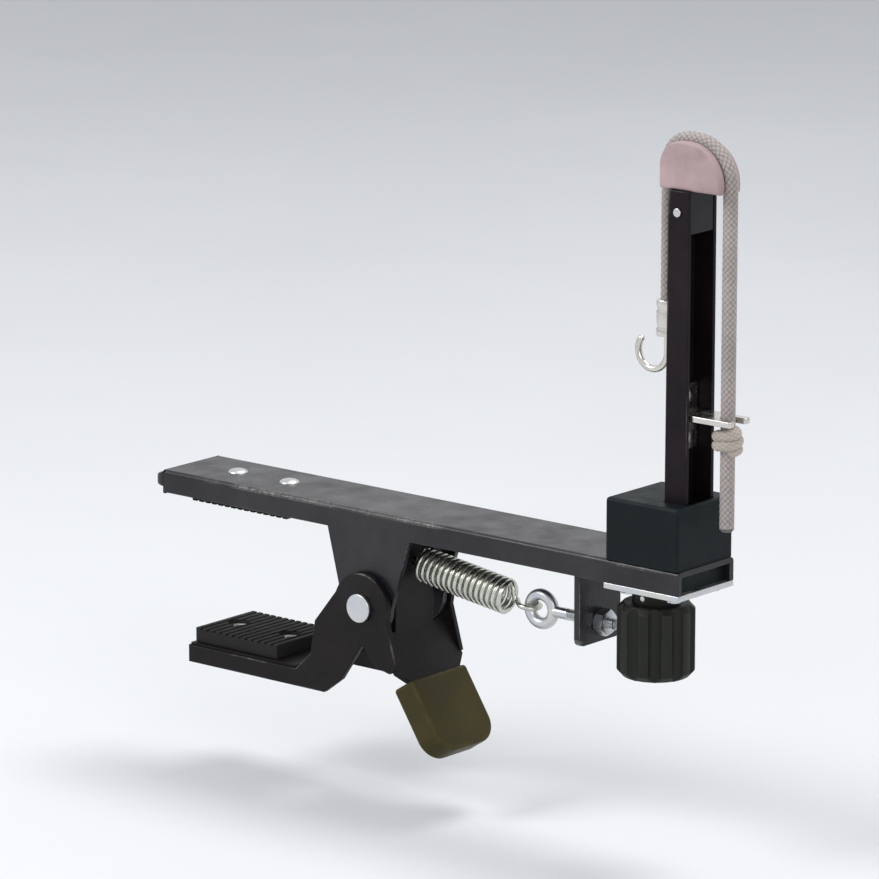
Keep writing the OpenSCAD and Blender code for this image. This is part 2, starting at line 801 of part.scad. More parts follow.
module height_knob() {
    color([0.15, 0.16, 0.14]) difference() {
        union() {
            rod_z(screw_x, 0, neck_r, knob_top - eps, neck_top);
            rod_z(screw_x, 0, knob_r, knob_bottom + knob_bevel, knob_top - knob_bevel);
            translate([screw_x, 0, knob_top - knob_bevel])
                cylinder(h = knob_bevel, r1 = knob_r, r2 = knob_r - knob_bevel);
            translate([screw_x, 0, knob_bottom])
                cylinder(h = knob_bevel, r1 = knob_r - knob_bevel, r2 = knob_r);
        }
        for (k = [0 : knob_flutes - 1]) {
            a = 360 * (k + 0.5) / knob_flutes;
            rod_z(screw_x + (knob_r + flute_out) * cos(a), (knob_r + flute_out) * sin(a), flute_r,
                  knob_bottom - 1, knob_top + eps);
        }
        rod_z(screw_x, 0, screw_r + rivet_gap, stem_end - washer_play, neck_top + 1);
        rod_y(screw_x, knob_pin_z, knob_pin_r + rivet_gap, -neck_r - 1, neck_r + 1);
    }
}

module knob_pin() {
    color("silver") rod_y(screw_x, knob_pin_z, knob_pin_r, -neck_r + knob_pin_sunk, neck_r - knob_pin_sunk);
}

// ---------------------------------------------------------------- post

module post() {
    color([0.13, 0.12, 0.13]) difference() {
        block([post_in, -post_w / 2, post_rest], [post_in + post_d, post_w / 2, post_top]);
        block([post_in + post_t, -post_w / 2 + post_t, post_rest - 1],
              [post_in + post_d + 1, post_w / 2 - post_t, post_top + 1]);
        for (s = [-1, 1]) {
            rod_x(post_in - 1, post_in + post_t + 1, 0, cleat_z + s * cleat_rivet_dz,
                  cleat_rivet_r + rivet_gap);
            rod_x(post_in - 1, post_in + post_t + 1, s * foot_rivet_y, foot_rivet_z,
                  cleat_rivet_r + rivet_gap);
        }
        rod_y(post_x, cap_pin_z, cap_pin_r + rivet_gap, -post_w, post_w);
    }
}

module post_foot() {
    color("silver") difference() {
        block([post_in - foot_len, -foot_w / 2, post_rest], [post_in, foot_w / 2, post_rest + foot_h]);
        rod_z(screw_x, 0, screw_r + run_gap, post_rest - 1, post_rest + foot_h + 1);
        for (s = [-1, 1])
            rod_x(post_in - foot_rivet_len - 0.5, post_in + 1, s * foot_rivet_y, foot_rivet_z,
                  cleat_rivet_r + rivet_gap);
    }
}

module foot_rivets() {
    color("silver") for (s = [-1, 1]) {
        rod_x(post_in - foot_rivet_len, post_in + post_t + cleat_head_t / 2, s * foot_rivet_y, foot_rivet_z,
              cleat_rivet_r);
        rod_x(post_in + post_t, post_in + post_t + cleat_head_t, s * foot_rivet_y, foot_rivet_z,
              foot_head_r);
    }
}

// Side view of the cap, e outside the cord's seat: round at both bends, flat below.
module cap_side(e) {
    out_r = seat_out_r + e;
    in_r = seat_in_r + e;
    polygon(concat(
        [for (i = [0 : cap_facets]) let (a = 90 * i / cap_facets)
            [seat_out_x + out_r * cos(a), seat_out_z + out_r * sin(a)]],
        [for (i = [0 : cap_facets]) let (a = 90 + 90 * i / cap_facets)
            [seat_in_x + in_r * cos(a), seat_in_z + in_r * sin(a)]],
        [[seat_in_x - in_r, post_top], [seat_out_x + out_r, post_top]]
    ));
}

module post_cap() {
    color([0.72, 0.66, 0.64]) difference() {
        union() {
            side_plate(-cap_w / 2, cap_w / 2) cap_side(rim_h);
            // plug in the post
            block([post_in + post_t + slide_gap, -post_w / 2 + post_t + slide_gap, post_top - cap_skirt],
                  [post_in + post_d - 2 * slide_gap, post_w / 2 - post_t - slide_gap, post_top + 1]);
        }
        // seat for the cord
        side_plate(-groove_w / 2, groove_w / 2) difference() {
            cap_side(rim_h + 6);
            cap_side(0);
        }
        rod_y(post_x, cap_pin_z, cap_pin_r + rivet_gap, -post_w, post_w);
    }
}

module cap_pin() {
    color("silver") rod_y(post_x, cap_pin_z, cap_pin_r, -post_w / 2 - cap_pin_out, post_w / 2 + cap_pin_out);
}

// ---------------------------------------------------------------- cord and its cleat

module cord_cleat() {
    base_x = post_in + post_t;
    color("gainsboro") difference() {
        union() {
            block([base_x, -cleat_w / 2, cleat_z - cleat_base_h / 2],
                  [base_x + cleat_t, cleat_w / 2, cleat_z + cleat_base_h / 2]);
            block([base_x, -cleat_w / 2, cleat_z], [cleat_end, cleat_w / 2, cleat_z + cleat_t]);
        }
        // notch that holds the cord above its knot
        rod_z(cord_out_x, 0, cord_r + cord_room, cleat_z - 1, cleat_z + cleat_t + 1);
        block([cord_out_x, -cord_r - cord_room, cleat_z - 1],
              [cleat_end + 1, cord_r + cord_room, cleat_z + cleat_t + 1]);
        for (s = [-1, 1])
            rod_x(base_x - 1, base_x + cleat_t + 1, 0, cleat_z + s * cleat_rivet_dz, cleat_rivet_r + rivet_gap);
    }
}

module cleat_rivets() {
    color("silver") for (s = [-1, 1]) {
        z = cleat_z + s * cleat_rivet_dz;
        cleat_face = post_in + post_t + cleat_t;
        rod_x(post_in - cleat_head_t / 2, cleat_face + cleat_head_t / 2, 0, z, cleat_rivet_r);
        rod_x(post_in - cleat_head_t, post_in, 0, z, cleat_head_r);
        rod_x(cleat_face, cleat_face + cleat_head_t, 0, z, cleat_head_r);
    }
}

outer_steps = ceil((seat_out_z - tail_end_z) / cord_rise);
inner_steps = ceil((seat_in_z - cord_in_end_z) / cord_rise);
cord_path = concat(
    [for (i = [0 : outer_steps - 1]) [cord_out_x, 0, tail_end_z + (seat_out_z - tail_end_z) * i / outer_steps]],
    [
        for (i = [0 : cap_rings])
            let (a = 90 * i / cap_rings, r = seat_out_r + cord_off)
            [seat_out_x + r * cos(a), 0, seat_out_z + r * sin(a)]
    ],
    [
        for (i = [0 : cap_rings])
            let (a = 90 + 90 * i / cap_rings, r = seat_in_r + cord_off)
            [seat_in_x + r * cos(a), 0, seat_in_z + r * sin(a)]
    ],
    [for (i = [1 : inner_steps]) [cord_in_x, 0, seat_in_z + (cord_in_end_z - seat_in_z) * i / inner_steps]]
);

module net_cord() {
    color([0.78, 0.72, 0.68]) tube(cord_path, cord_r, cord_sides, [1, 0, 0]);
}

module cord_knot() {
    color([0.8, 0.75, 0.7]) difference() {
        translate([cord_out_x, 0, knot_z]) sphere(r = knot_r);
        rod_z(cord_out_x, 0, cord_r + 0.05, knot_z - knot_r - 1, knot_z + knot_r + 1);
    }
}

module net_hook() {
    ferrule_bottom = cord_in_end_z - ferrule_len;
    bend_z = ferrule_bottom - hook_neck;
    color("gainsboro") {
        rod_z(cord_in_x, 0, ferrule_r, ferrule_bottom, cord_in_end_z);
        rod_z(cord_in_x, 0, hook_d / 2, bend_z, ferrule_bottom + eps);
        translate([cord_in_x - hook_r, 0, bend_z]) rotate([90, 0, 0])
            rotate_extrude(angle = -215) translate([hook_r, 0]) circle(r = hook_d / 2, $fn = 24);
    }
}

arm();
nose_cap();
upper_pad();
upper_pad_rivets();
pivot_pin();
pivot_clip();
pivot_washers();
clamp_lever();
handle_grip();
lower_pad();
lower_pad_rivets();
tension_spring();
eye_bolt();
eye_bolt_nuts();
post_socket();
thrust_plate();
socket_screws();
height_screw();
knob_washer();
height_knob();
knob_pin();
post();
post_foot();
foot_rivets();
post_cap();
cap_pin();
cord_cleat();
cleat_rivets();
net_cord();
cord_knot();
net_hook();
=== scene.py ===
# %% [markdown]
# # A table tennis net clamp
# The clamp is a sprung clip that bites the edge of the table. Its arm reaches out
# to a short post, and the net's top cord runs over the post and down to a cleat.
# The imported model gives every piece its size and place, in metres: x points away
# from the table, z is up, and z = 0 is the table top. This lesson keeps those sizes
# and gives each piece its rounded edges, its small parts and its finish.

# %% Load the frame
import json
import math
from itertools import accumulate

import bmesh
import bpy
from mathutils import Matrix, Vector

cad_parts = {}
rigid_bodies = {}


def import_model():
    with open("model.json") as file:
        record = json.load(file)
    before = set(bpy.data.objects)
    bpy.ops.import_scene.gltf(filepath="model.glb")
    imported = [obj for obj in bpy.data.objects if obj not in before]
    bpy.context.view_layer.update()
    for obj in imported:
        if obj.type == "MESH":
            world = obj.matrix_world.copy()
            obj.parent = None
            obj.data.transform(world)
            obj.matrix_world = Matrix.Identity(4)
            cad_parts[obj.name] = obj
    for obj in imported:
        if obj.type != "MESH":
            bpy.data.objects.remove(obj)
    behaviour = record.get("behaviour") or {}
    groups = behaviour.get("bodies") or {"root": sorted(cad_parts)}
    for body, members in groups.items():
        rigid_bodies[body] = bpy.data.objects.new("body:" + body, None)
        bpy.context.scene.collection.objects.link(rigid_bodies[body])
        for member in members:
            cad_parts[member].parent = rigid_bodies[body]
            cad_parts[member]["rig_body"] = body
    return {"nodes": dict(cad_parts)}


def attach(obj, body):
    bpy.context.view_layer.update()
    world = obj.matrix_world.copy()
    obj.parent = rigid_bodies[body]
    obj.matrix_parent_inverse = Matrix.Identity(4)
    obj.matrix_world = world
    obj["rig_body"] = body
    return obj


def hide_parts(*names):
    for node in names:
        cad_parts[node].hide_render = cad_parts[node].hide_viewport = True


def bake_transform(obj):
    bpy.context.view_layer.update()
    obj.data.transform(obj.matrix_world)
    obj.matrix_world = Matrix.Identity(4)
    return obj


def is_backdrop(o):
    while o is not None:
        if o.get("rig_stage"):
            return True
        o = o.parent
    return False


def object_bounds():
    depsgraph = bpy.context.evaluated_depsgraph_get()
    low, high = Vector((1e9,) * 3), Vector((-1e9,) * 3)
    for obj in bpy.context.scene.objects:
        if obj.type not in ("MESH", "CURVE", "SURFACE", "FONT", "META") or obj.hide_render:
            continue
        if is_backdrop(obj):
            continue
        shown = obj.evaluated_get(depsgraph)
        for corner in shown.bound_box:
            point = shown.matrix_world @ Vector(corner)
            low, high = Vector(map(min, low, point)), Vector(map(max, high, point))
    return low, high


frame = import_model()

cad_box = [list(corner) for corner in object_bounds()]
MM = 0.001

# %% [markdown]
# ## The camera
# The clamp is seen from outside the table, a little above it, with the post nearer
# than the jaw. From close by, something this long would look bent out of shape, so
# the camera stands back almost two metres and zooms in with a long lens.

# %% Place the camera
AZIMUTH, ELEVATION, DISTANCE = math.radians(40), math.radians(13), 1.88
PICTURE_WIDTH, AIM_LOWER = 0.298, 0.004


def linked(name, data):
    """A new object in the scene that holds the data."""
    made = bpy.data.objects.new(name, data)
    bpy.context.collection.objects.link(made)
    return made


def place_and_aim(thing, place, direction):
    """Puts a camera or a lamp at a place and turns it to look in a direction."""
    thing.location = place
    thing.rotation_mode = "QUATERNION"
    thing.rotation_quaternion = direction.to_track_quat("-Z", "Y")


box_low, box_high = (Vector(corner) for corner in cad_box)
look_at = (box_low + box_high) / 2 + Vector((0, 0, -AIM_LOWER))
back = Vector((math.sin(AZIMUTH) * math.cos(ELEVATION),
               -math.cos(AZIMUTH) * math.cos(ELEVATION), math.sin(ELEVATION)))
camera = linked("camera", bpy.data.cameras.new("camera"))
place_and_aim(camera, look_at + back * DISTANCE, -back)
camera.data.lens = camera.data.sensor_width * DISTANCE / PICTURE_WIDTH
camera.data.clip_start = 0.05
bpy.context.scene.camera = camera
print("lens:", round(camera.data.lens), "mm")

# %% [markdown]
# ## The world
# The world is nearly white to the camera and in reflections, but lights the clamp
# more gently, so that black paint keeps its depth. Light Path tells the two apart.

# %% Make the world
scene = bpy.context.scene
scene.view_settings.view_transform = "Standard"
world = bpy.data.worlds.new("studio")
scene.world = world
world.use_nodes = True
sky = world.node_tree
sky.nodes.clear()


def seen_directly():
    """1 for camera, glossy and transmission rays, and 0 for the light itself."""
    rays = sky.nodes.new("ShaderNodeLightPath")
    total = rays.outputs["Is Camera Ray"]
    for ray in ("Is Glossy Ray", "Is Transmission Ray"):
        either = sky.nodes.new("ShaderNodeMath")
        either.operation = "MAXIMUM"
        sky.links.new(total, either.inputs[0])
        sky.links.new(rays.outputs[ray], either.inputs[1])
        total = either.outputs[0]
    return total


def background(colour, strength):
    """An even glow from all round."""
    glow = sky.nodes.new("ShaderNodeBackground")
    glow.inputs["Color"].default_value = (*colour, 1)
    glow.inputs["Strength"].default_value = strength
    return glow.outputs[0]


lighting = background((0.93, 0.96, 1.0), 0.42)
backdrop = background((0.84, 0.85, 0.87), 1.0)
choice = sky.nodes.new("ShaderNodeMixShader")
for source, socket in zip((seen_directly(), lighting, backdrop), choice.inputs):
    sky.links.new(source, socket)
sky_out = sky.nodes.new("ShaderNodeOutputWorld")
sky.links.new(choice.outputs[0], sky_out.inputs[0])
print("world:", scene.world.name)

# %% [markdown]
# ## The lamps
# Three large soft lamps do the rest: one high on the left, one overhead that runs
# along the arm, and a weak one on the right. Large lamps give the long soft
# highlights that show where sheet metal bends.


# %% Hang the lamps
def lamp(name, place, size, watts, colour=(1, 1, 1)):
    """A square soft lamp that faces the clamp."""
    data = bpy.data.lights.new(name, "AREA")
    data.size, data.energy, data.color = size, watts, colour
    direction = look_at - Vector(place)
    place_and_aim(linked(name, data), place, direction)
    print(name, watts, "W at", round(direction.length, 2), "m")


lamp("key", (-0.9, -1.3, 1.5), 0.9, 24)
lamp("overhead", (0.25, 0.5, 1.5), 0.7, 12)
lamp("fill", (1.6, -0.9, 0.8), 1.0, 9, (1.0, 0.97, 0.93))

# %% [markdown]
# ## Writing colours
# A colour is easiest to write as red, green and blue from 0 to 255, as a paint
# program shows it. Shaders count light in a straight line instead, so one small
# function turns the first into the second. Another makes a colour darker or lighter.


# %% Colours
def srgb(red, green, blue):
    """A colour from 0 to 255 as the linear numbers that shaders use."""
    def straight(c):
        return c / 12.92 if c <= 0.04045 else ((c + 0.055) / 1.055) ** 2.4
    return (*(straight(c / 255) for c in (red, green, blue)), 1.0)


def shade(colour, factor):
    """The same colour, darker or lighter."""
    return (*(min(1.0, c * factor) for c in colour[:3]), 1.0)


print("black is", [round(c, 4) for c in srgb(30, 28, 30)])

# %% [markdown]
# ## Noise and masks
# Nothing that is used looks the same all over. A mask is a number from 0 to 1 at
# each point of a surface, and soft noise is the usual source of one. The noise reads
# the piece's own coordinates, so it is fixed to the piece and moves with it. A range
# then turns the noise's middle values into patches with soft rims.


# %% Noise and masks
def new_finish(name):
    """A material, its nodes and its main shader."""
    finish = bpy.data.materials.new(name)
    finish.use_nodes = True
    return finish, finish.node_tree, finish.node_tree.nodes["Principled BSDF"]


def grain(tree, scale, detail, stretch=(1, 1, 1), rough=0.55):
    """Soft noise that is fixed to the piece. scale is in blotches per metre."""
    place = tree.nodes.new("ShaderNodeTexCoord")
    mapping = tree.nodes.new("ShaderNodeMapping")
    mapping.inputs["Scale"].default_value = stretch
    noise = tree.nodes.new("ShaderNodeTexNoise")
    noise.inputs["Scale"].default_value = scale
    noise.inputs["Detail"].default_value = detail
    noise.inputs["Roughness"].default_value = rough
    tree.links.new(place.outputs["Object"], mapping.inputs["Vector"])
    tree.links.new(mapping.outputs["Vector"], noise.inputs["Vector"])
    return noise.outputs["Fac"]


def between(tree, source, low, high, to_low=0.0, to_high=1.0):
    """source from low to high, spread over to_low to to_high."""
    spread = tree.nodes.new("ShaderNodeMapRange")
    ends = {"From Min": low, "From Max": high, "To Min": to_low, "To Max": to_high}
    for key, value in ends.items():
        spread.inputs[key].default_value = value
    tree.links.new(source, spread.inputs["Value"])
    return spread.outputs["Result"]


def times(tree, first, second):
    """Two masks, one on top of the other."""
    product = tree.nodes.new("ShaderNodeMath")
    product.operation = "MULTIPLY"
    tree.links.new(first, product.inputs[0])
    tree.links.new(second, product.inputs[1])
    return product.outputs[0]


print("helpers:", [f.__name__ for f in (new_finish, grain, between, times)])

# %% [markdown]
# ## Mixes, bumps and marks
# A mask can choose between two colours, or lift the surface by a few hundredths of a
# millimetre as a bump, which bends the light and moves no corner of the mesh. Some
# masks can't come from noise, such as where an edge is rounded or how high a strand
# lies. The modelling cells leave those numbers on the surface as marks.


# %% Mixes, bumps and marks
def mixed(tree, mask, first, second):
    """A colour that goes from first to second with the mask. Each is a colour or a socket."""
    mix = tree.nodes.new("ShaderNodeMix")
    mix.data_type = "RGBA"
    tree.links.new(mask, mix.inputs[0])
    for socket, value in ((mix.inputs[6], first), (mix.inputs[7], second)):
        if isinstance(value, tuple):
            socket.default_value = value
        else:
            tree.links.new(value, socket)
    return mix.outputs[2]


def cloudy(tree, scale, first, second, low=0.35, high=0.65):
    """Cloudy patches of two close colours."""
    return mixed(tree, between(tree, grain(tree, scale, 4), low, high), first, second)


def patchy_gloss(tree, shader, scale, smoothest, roughest):
    """Roughness that wanders between two values."""
    patches = between(tree, grain(tree, scale, 5), 0.3, 0.7, smoothest, roughest)
    tree.links.new(patches, shader.inputs["Roughness"])


def bumped(tree, shader, *layers):
    """Adds up layers of (height, depth in millimetres) as small bumps on the surface."""
    normal = None
    for height, depth in layers:
        bump = tree.nodes.new("ShaderNodeBump")
        bump.inputs["Distance"].default_value = depth * MM
        tree.links.new(height, bump.inputs["Height"])
        if normal is not None:
            tree.links.new(normal, bump.inputs["Normal"])
        normal = bump.outputs["Normal"]
    tree.links.new(normal, shader.inputs["Normal"])


def surface_mark(tree, name):
    """A number that the modelling cells left on the surface, such as edge or relief."""
    mark = tree.nodes.new("ShaderNodeAttribute")
    mark.attribute_name = name
    return mark.outputs["Fac"]


print("helpers:", [f.__name__ for f in (mixed, cloudy, patchy_gloss, bumped, surface_mark)])

# %% [markdown]
# ## Finish: powder-coated steel
# The arm, the lever and the post are pressed from sheet steel and powder coated.
# Powder paint isn't quite flat: it has a fine orange peel, cloudy patches a shade
# apart, a film of dust, and bright worn spots on the edges that hands and tables
# rub. The edges are marked when they are rounded, so the wear only shows there.

# %% Powder coat
DUST, BARE_STEEL = srgb(112, 110, 112), srgb(150, 148, 145)


def powder_coat(name, colour, roughness, specular, wear=0.5, dust=0.1):
    """Black paint with peel, dust and worn edges."""
    finish, tree, shader = new_finish(name)
    paint = cloudy(tree, 55, shade(colour, 0.8), shade(colour, 1.25))
    film = between(tree, grain(tree, 22, 6, rough=0.7), 0.48, 0.75, 0, dust)
    dusty = mixed(tree, film, paint, DUST)
    places = between(tree, grain(tree, 38, 3), 0.5, 0.62)
    rubbed = times(tree, places, surface_mark(tree, "edge"))
    scuffs = between(tree, grain(tree, 600, 5, rough=0.7), 0.35, 0.65, 0, wear)
    worn = times(tree, scuffs, rubbed)
    tree.links.new(mixed(tree, worn, dusty, BARE_STEEL), shader.inputs["Base Color"])
    tree.links.new(between(tree, worn, 0, 1, 0, 0.8), shader.inputs["Metallic"])
    patchy_gloss(tree, shader, 90, roughness - 0.07, roughness + 0.12)
    shader.inputs["Specular IOR Level"].default_value = specular
    bumped(tree, shader, (grain(tree, 1500, 2), 0.035), (grain(tree, 300, 3), 0.03))
    return finish


ARM_PAINT = powder_coat("arm_paint", srgb(26, 25, 30), 0.29, 0.36)
LEVER_PAINT = powder_coat("lever_paint", srgb(19, 15, 16), 0.42, 0.17, 0.6, 0.07)
POST_PAINT = powder_coat("post_paint", srgb(22, 14, 19), 0.42, 0.14, 0.4, 0.04)
print("paints:", ARM_PAINT.name, LEVER_PAINT.name, POST_PAINT.name)

# %% [markdown]
# ## Finish: zinc and nickel
# Small hardware is zinc plated: a pale metal, a little blue or straw in places,
# duller where fingers touched it. The spring and the hook are brighter. A metal's
# colour is its reflection, so most of its character is in the roughness.


# %% Plated metal
def plated(name, colour, tint, roughness, drawn=(1, 1, 1)):
    """Bare plated metal with faint tints, smears and drawn lines."""
    finish, tree, shader = new_finish(name)
    shader.inputs["Metallic"].default_value = 1.0
    body = cloudy(tree, 160, colour, tint, 0.38, 0.66)
    grime = between(tree, grain(tree, 520, 6, rough=0.75), 0.6, 0.78, 0, 0.55)
    tree.links.new(mixed(tree, grime, body, shade(colour, 0.4)), shader.inputs["Base Color"])
    patchy_gloss(tree, shader, 240, roughness - 0.08, roughness + 0.16)
    bumped(tree, shader, (grain(tree, 1400, 3, drawn), 0.02))
    return finish


ZINC = plated("zinc", srgb(205, 205, 200), srgb(196, 200, 208), 0.32)
SPRING_WIRE = plated("spring_wire", srgb(206, 208, 198), srgb(188, 190, 180), 0.24, (1, 4, 1))
NICKEL = plated("nickel", srgb(214, 211, 205), srgb(200, 196, 190), 0.18)
print("metals:", ZINC.name, SPRING_WIRE.name, NICKEL.name)

# %% [markdown]
# ## Finish: moulded plastic, vinyl and rubber
# Plastic parts carry the texture of their mould: a fine even spark grain, with
# smoother, lighter rims where hands polish them. Vinyl is softer and warmer, and
# rubber is matt with a grey bloom and small pits.


# %% Plastics and rubber
def moulded(name, colour, roughness, specular=0.3, pore=1800, depth=0.03, rub=0.35,
            bloom=0.15):
    """Plastic or rubber with mould grain, bloom and rubbed edges."""
    finish, tree, shader = new_finish(name)
    shader.inputs["Specular IOR Level"].default_value = specular
    body = cloudy(tree, 70, shade(colour, 0.85), shade(colour, 1.18))
    haze = between(tree, grain(tree, 30, 6, rough=0.7), 0.5, 0.78, 0, bloom)
    hazy = mixed(tree, haze, body, shade(colour, 2.6))
    places = between(tree, grain(tree, 260, 5), 0.4, 0.7, 0, rub)
    rubbed = times(tree, surface_mark(tree, "edge"), places)
    tree.links.new(mixed(tree, rubbed, hazy, shade(colour, 3.4)), shader.inputs["Base Color"])
    patchy_gloss(tree, shader, 140, roughness - 0.06, roughness + 0.1)
    bumped(tree, shader, (grain(tree, pore, 2), depth), (grain(tree, 180, 3), depth))
    return finish


BLACK_PLASTIC = moulded("black_plastic", srgb(25, 24, 27), 0.42)
SOCKET_PLASTIC = moulded("socket_plastic", srgb(15, 23, 25), 0.48, 0.13)
KNOB_PLASTIC = moulded("knob_plastic", srgb(27, 29, 24), 0.46, 0.2)
VINYL = moulded("vinyl", srgb(54, 48, 17), 0.5, 0.22, 900, 0.02, 0.25)
RUBBER = moulded("rubber", srgb(33, 33, 32), 0.82, 0.25, 1200, 0.06, 0.5, 0.25)
NYLON = moulded("nylon", srgb(214, 210, 198), 0.4, 0.5, 1600, 0.015, 0.0, 0.0)
CAP_PLASTIC = moulded("cap_plastic", srgb(172, 149, 151), 0.45, 0.4, 1600, 0.015, 0.0, 0.0)
print("plastics:", BLACK_PLASTIC.name, SOCKET_PLASTIC.name, KNOB_PLASTIC.name, VINYL.name,
      RUBBER.name, NYLON.name, CAP_PLASTIC.name)

# %% [markdown]
# ## The net cord
# The cord comes first, because the post, the cap and the cleat are all there to hold
# it. It is a braided cord 5 mm thick: from its sealed tail it goes up through the
# fork of the cleat, over the rounded head of the post and down on the table's side to
# a small hook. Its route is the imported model's, in straight runs and quarter turns.

# %% Lay the cord's route
CORD_R, CORD_TOP = 2.5, 150.0
OUTER_X, OUTER_BEND, INNER_X, INNER_BEND = 202.2, 13.7, 177.2, 8.7
TAIL_Z, INNER_END_Z = 22.0, 96.0
ROUTE_STEP = 0.36


def straight_run(start, end):
    """Even points from start up to the end, but without the end itself."""
    start, end = Vector(start), Vector(end)
    count = max(1, round((end - start).length / ROUTE_STEP))
    return [start.lerp(end, i / count) for i in range(count)]


def quarter_turn(x, z, radius, start):
    """Even points round a quarter of a circle about (x, z), from the angle start."""
    count = round(math.pi / 2 * radius / ROUTE_STEP)
    angles = (start + math.pi / 2 * i / count for i in range(count))
    return [Vector((x + radius * math.cos(a), 0, z + radius * math.sin(a))) for a in angles]


outer_z, inner_z = CORD_TOP - OUTER_BEND, CORD_TOP - INNER_BEND
route = [*straight_run((OUTER_X, 0, TAIL_Z), (OUTER_X, 0, outer_z)),
         *quarter_turn(OUTER_X - OUTER_BEND, outer_z, OUTER_BEND, 0),
         *straight_run((OUTER_X - OUTER_BEND, 0, CORD_TOP), (INNER_X + INNER_BEND, 0, CORD_TOP)),
         *quarter_turn(INNER_X + INNER_BEND, inner_z, INNER_BEND, math.pi / 2),
         *straight_run((INNER_X, 0, inner_z), (INNER_X, 0, INNER_END_Z)),
         Vector((INNER_X, 0, INNER_END_Z))]
cord_length = sum((b - a).length for a, b in zip(route, route[1:]))
print("cord:", round(cord_length, 1), "mm long,", len(route), "rings")

# %% [markdown]
# ## Tubes along a path
# Wires, cords and threads are all tubes along a path. A grid is wrapped round the
# path: its columns go round and its rows go along, and each row is turned just
# enough to stay square to the path, so the tube never twists. A relief function may
# push the skin in or out, which makes the plaits of a cord and the threads of a screw.


# %% Wrap a tube round a path
def carried_sides(path):
    """For each point of the path, two directions across it, carried without twist."""
    ahead = [(after - before).normalized()
             for before, after in zip([path[0], *path], [*path[1:], path[-1]])]
    side = ahead[0].orthogonal().normalized()
    sides = []
    for i, direction in enumerate(ahead):
        if i:
            side = ahead[i - 1].rotation_difference(direction) @ side
        side = (side - direction * side.dot(direction)).normalized()
        sides.append((side, direction.cross(side)))
    return sides


def tube(path, radii, columns, relief=None):
    """A closed tube in metres along a path in millimetres, with a radius for each
    point. relief(turn, length) gives the skin's height in millimetres."""
    path = [Vector(p) for p in path]
    lengths = [0.0, *accumulate((b - a).length for a, b in zip(path, path[1:]))]
    sides = carried_sides(path)
    bm = bmesh.new()
    uv = bm.loops.layers.uv.new("along")
    height = bm.verts.layers.float.new("relief")
    bmesh.ops.create_grid(bm, x_segments=columns, y_segments=len(path) - 1, size=1)

    def turn_and_row(vert):
        return (vert.co.x + 1) / 2, round((vert.co.y + 1) / 2 * (len(path) - 1))

    for face in bm.faces:
        for loop in face.loops:
            turn, row = turn_and_row(loop.vert)
            loop[uv].uv = (turn, lengths[row])
    for vert in bm.verts:
        turn, row = turn_and_row(vert)
        vert[height] = lift = relief(turn, lengths[row]) if relief else 0.0
        side, up = sides[row]
        angle = 2 * math.pi * turn
        out = side * math.cos(angle) + up * math.sin(angle)
        vert.co = (path[row] + out * (radii[row] + lift)) * MM
    bmesh.ops.remove_doubles(bm, verts=bm.verts, dist=0.0005 * MM)
    bmesh.ops.holes_fill(bm, edges=[e for e in bm.edges if e.is_boundary], sides=0)
    return bm


def rounded_ends(path, radius, start=True, rings=5):
    """Adds a half ball to the path's end, and to its start if asked: the new path and
    its radii."""
    path = [Vector(p) for p in path]
    angles = [math.pi / 2 * i / rings for i in range(1, rings + 1)]
    ball_radii = [*(radius * math.cos(a) for a in angles[:-1]), radius * 0.02]

    def ball(tip, inner):
        out = (tip - inner).normalized()
        return [tip + out * radius * math.sin(a) for a in angles]

    before = ball(path[0], path[1])[::-1] if start else []
    radii = [*ball_radii[::-1][:len(before)], *[radius] * len(path), *ball_radii]
    return [*before, *path, *ball(path[-1], path[-2])], radii


print("helpers:", [f.__name__ for f in (carried_sides, tube, rounded_ends)])

# %% [markdown]
# ## Finish: braided cord
# A braid is two sets of strands that wind opposite ways and pass over and under each
# other. A relief function draws that on the tube itself, so the plaits catch the
# light from every side. The cord is undyed polyester gone a little grey and pink with
# use. The hollows between the strands get painted shade, fine yarns run along each
# strand, and the fibres scatter light at grazing angles, which the sheen of the shader
# gives.

# %% Braid and cord material
PLAITS, BRAID_DEPTH, BRAID_LAY = 8, 0.3, 15.7


def braid(depth, lay):
    """The relief of a braid whose strands go once round in the length lay."""
    def relief(turn, length):
        one, other = PLAITS * (turn + length / lay), PLAITS * (turn - length / lay)
        over = (math.floor(one) + math.floor(other)) % 2
        across, along = (one % 1, other % 1) if over else (other % 1, one % 1)
        crown = math.sin(math.pi * across) ** 0.6 * (0.55 + 0.45 * math.sin(math.pi * along))
        return depth * (crown - 1)
    return relief


def braided(name, colour):
    """Cord with painted shade in its hollows, soiled patches, yarns and a sheen."""
    finish, tree, shader = new_finish(name)
    # Painted shade: the colour is darkened where the relief is low, in the hollows between
    # strands.
    painted_hollow_shade = between(tree, surface_mark(tree, "relief"), -BRAID_DEPTH, -0.05 * BRAID_DEPTH)
    soiled = between(tree, grain(tree, 60, 5), 0.35, 0.7)
    clean = mixed(tree, soiled, shade(colour, 1.06), shade(colour, 0.8))
    plaited_with_painted_shade = mixed(tree, painted_hollow_shade, shade(colour, 0.3), clean)
    melted = mixed(tree, surface_mark(tree, "edge"), plaited_with_painted_shade, shade(colour, 0.22))
    tree.links.new(melted, shader.inputs["Base Color"])
    shader.inputs["Roughness"].default_value = 0.85
    shader.inputs["Sheen Weight"].default_value = 0.25
    place = tree.nodes.new("ShaderNodeUVMap")
    place.uv_map = "along"
    yarn = tree.nodes.new("ShaderNodeTexWave")
    yarn.bands_direction = "DIAGONAL"
    yarn.inputs["Scale"].default_value = 3.2
    yarn.inputs["Distortion"].default_value = 2.0
    tree.links.new(place.outputs["UV"], yarn.inputs["Vector"])
    bumped(tree, shader, (yarn.outputs["Fac"], 0.04), (grain(tree, 2600, 3), 0.05))
    return finish


CORD = braided("braided_cord", srgb(192, 182, 178))
KNOT_CORD = braided("knotted_cord", srgb(206, 195, 184))
print("cords:", CORD.name, KNOT_CORD.name)

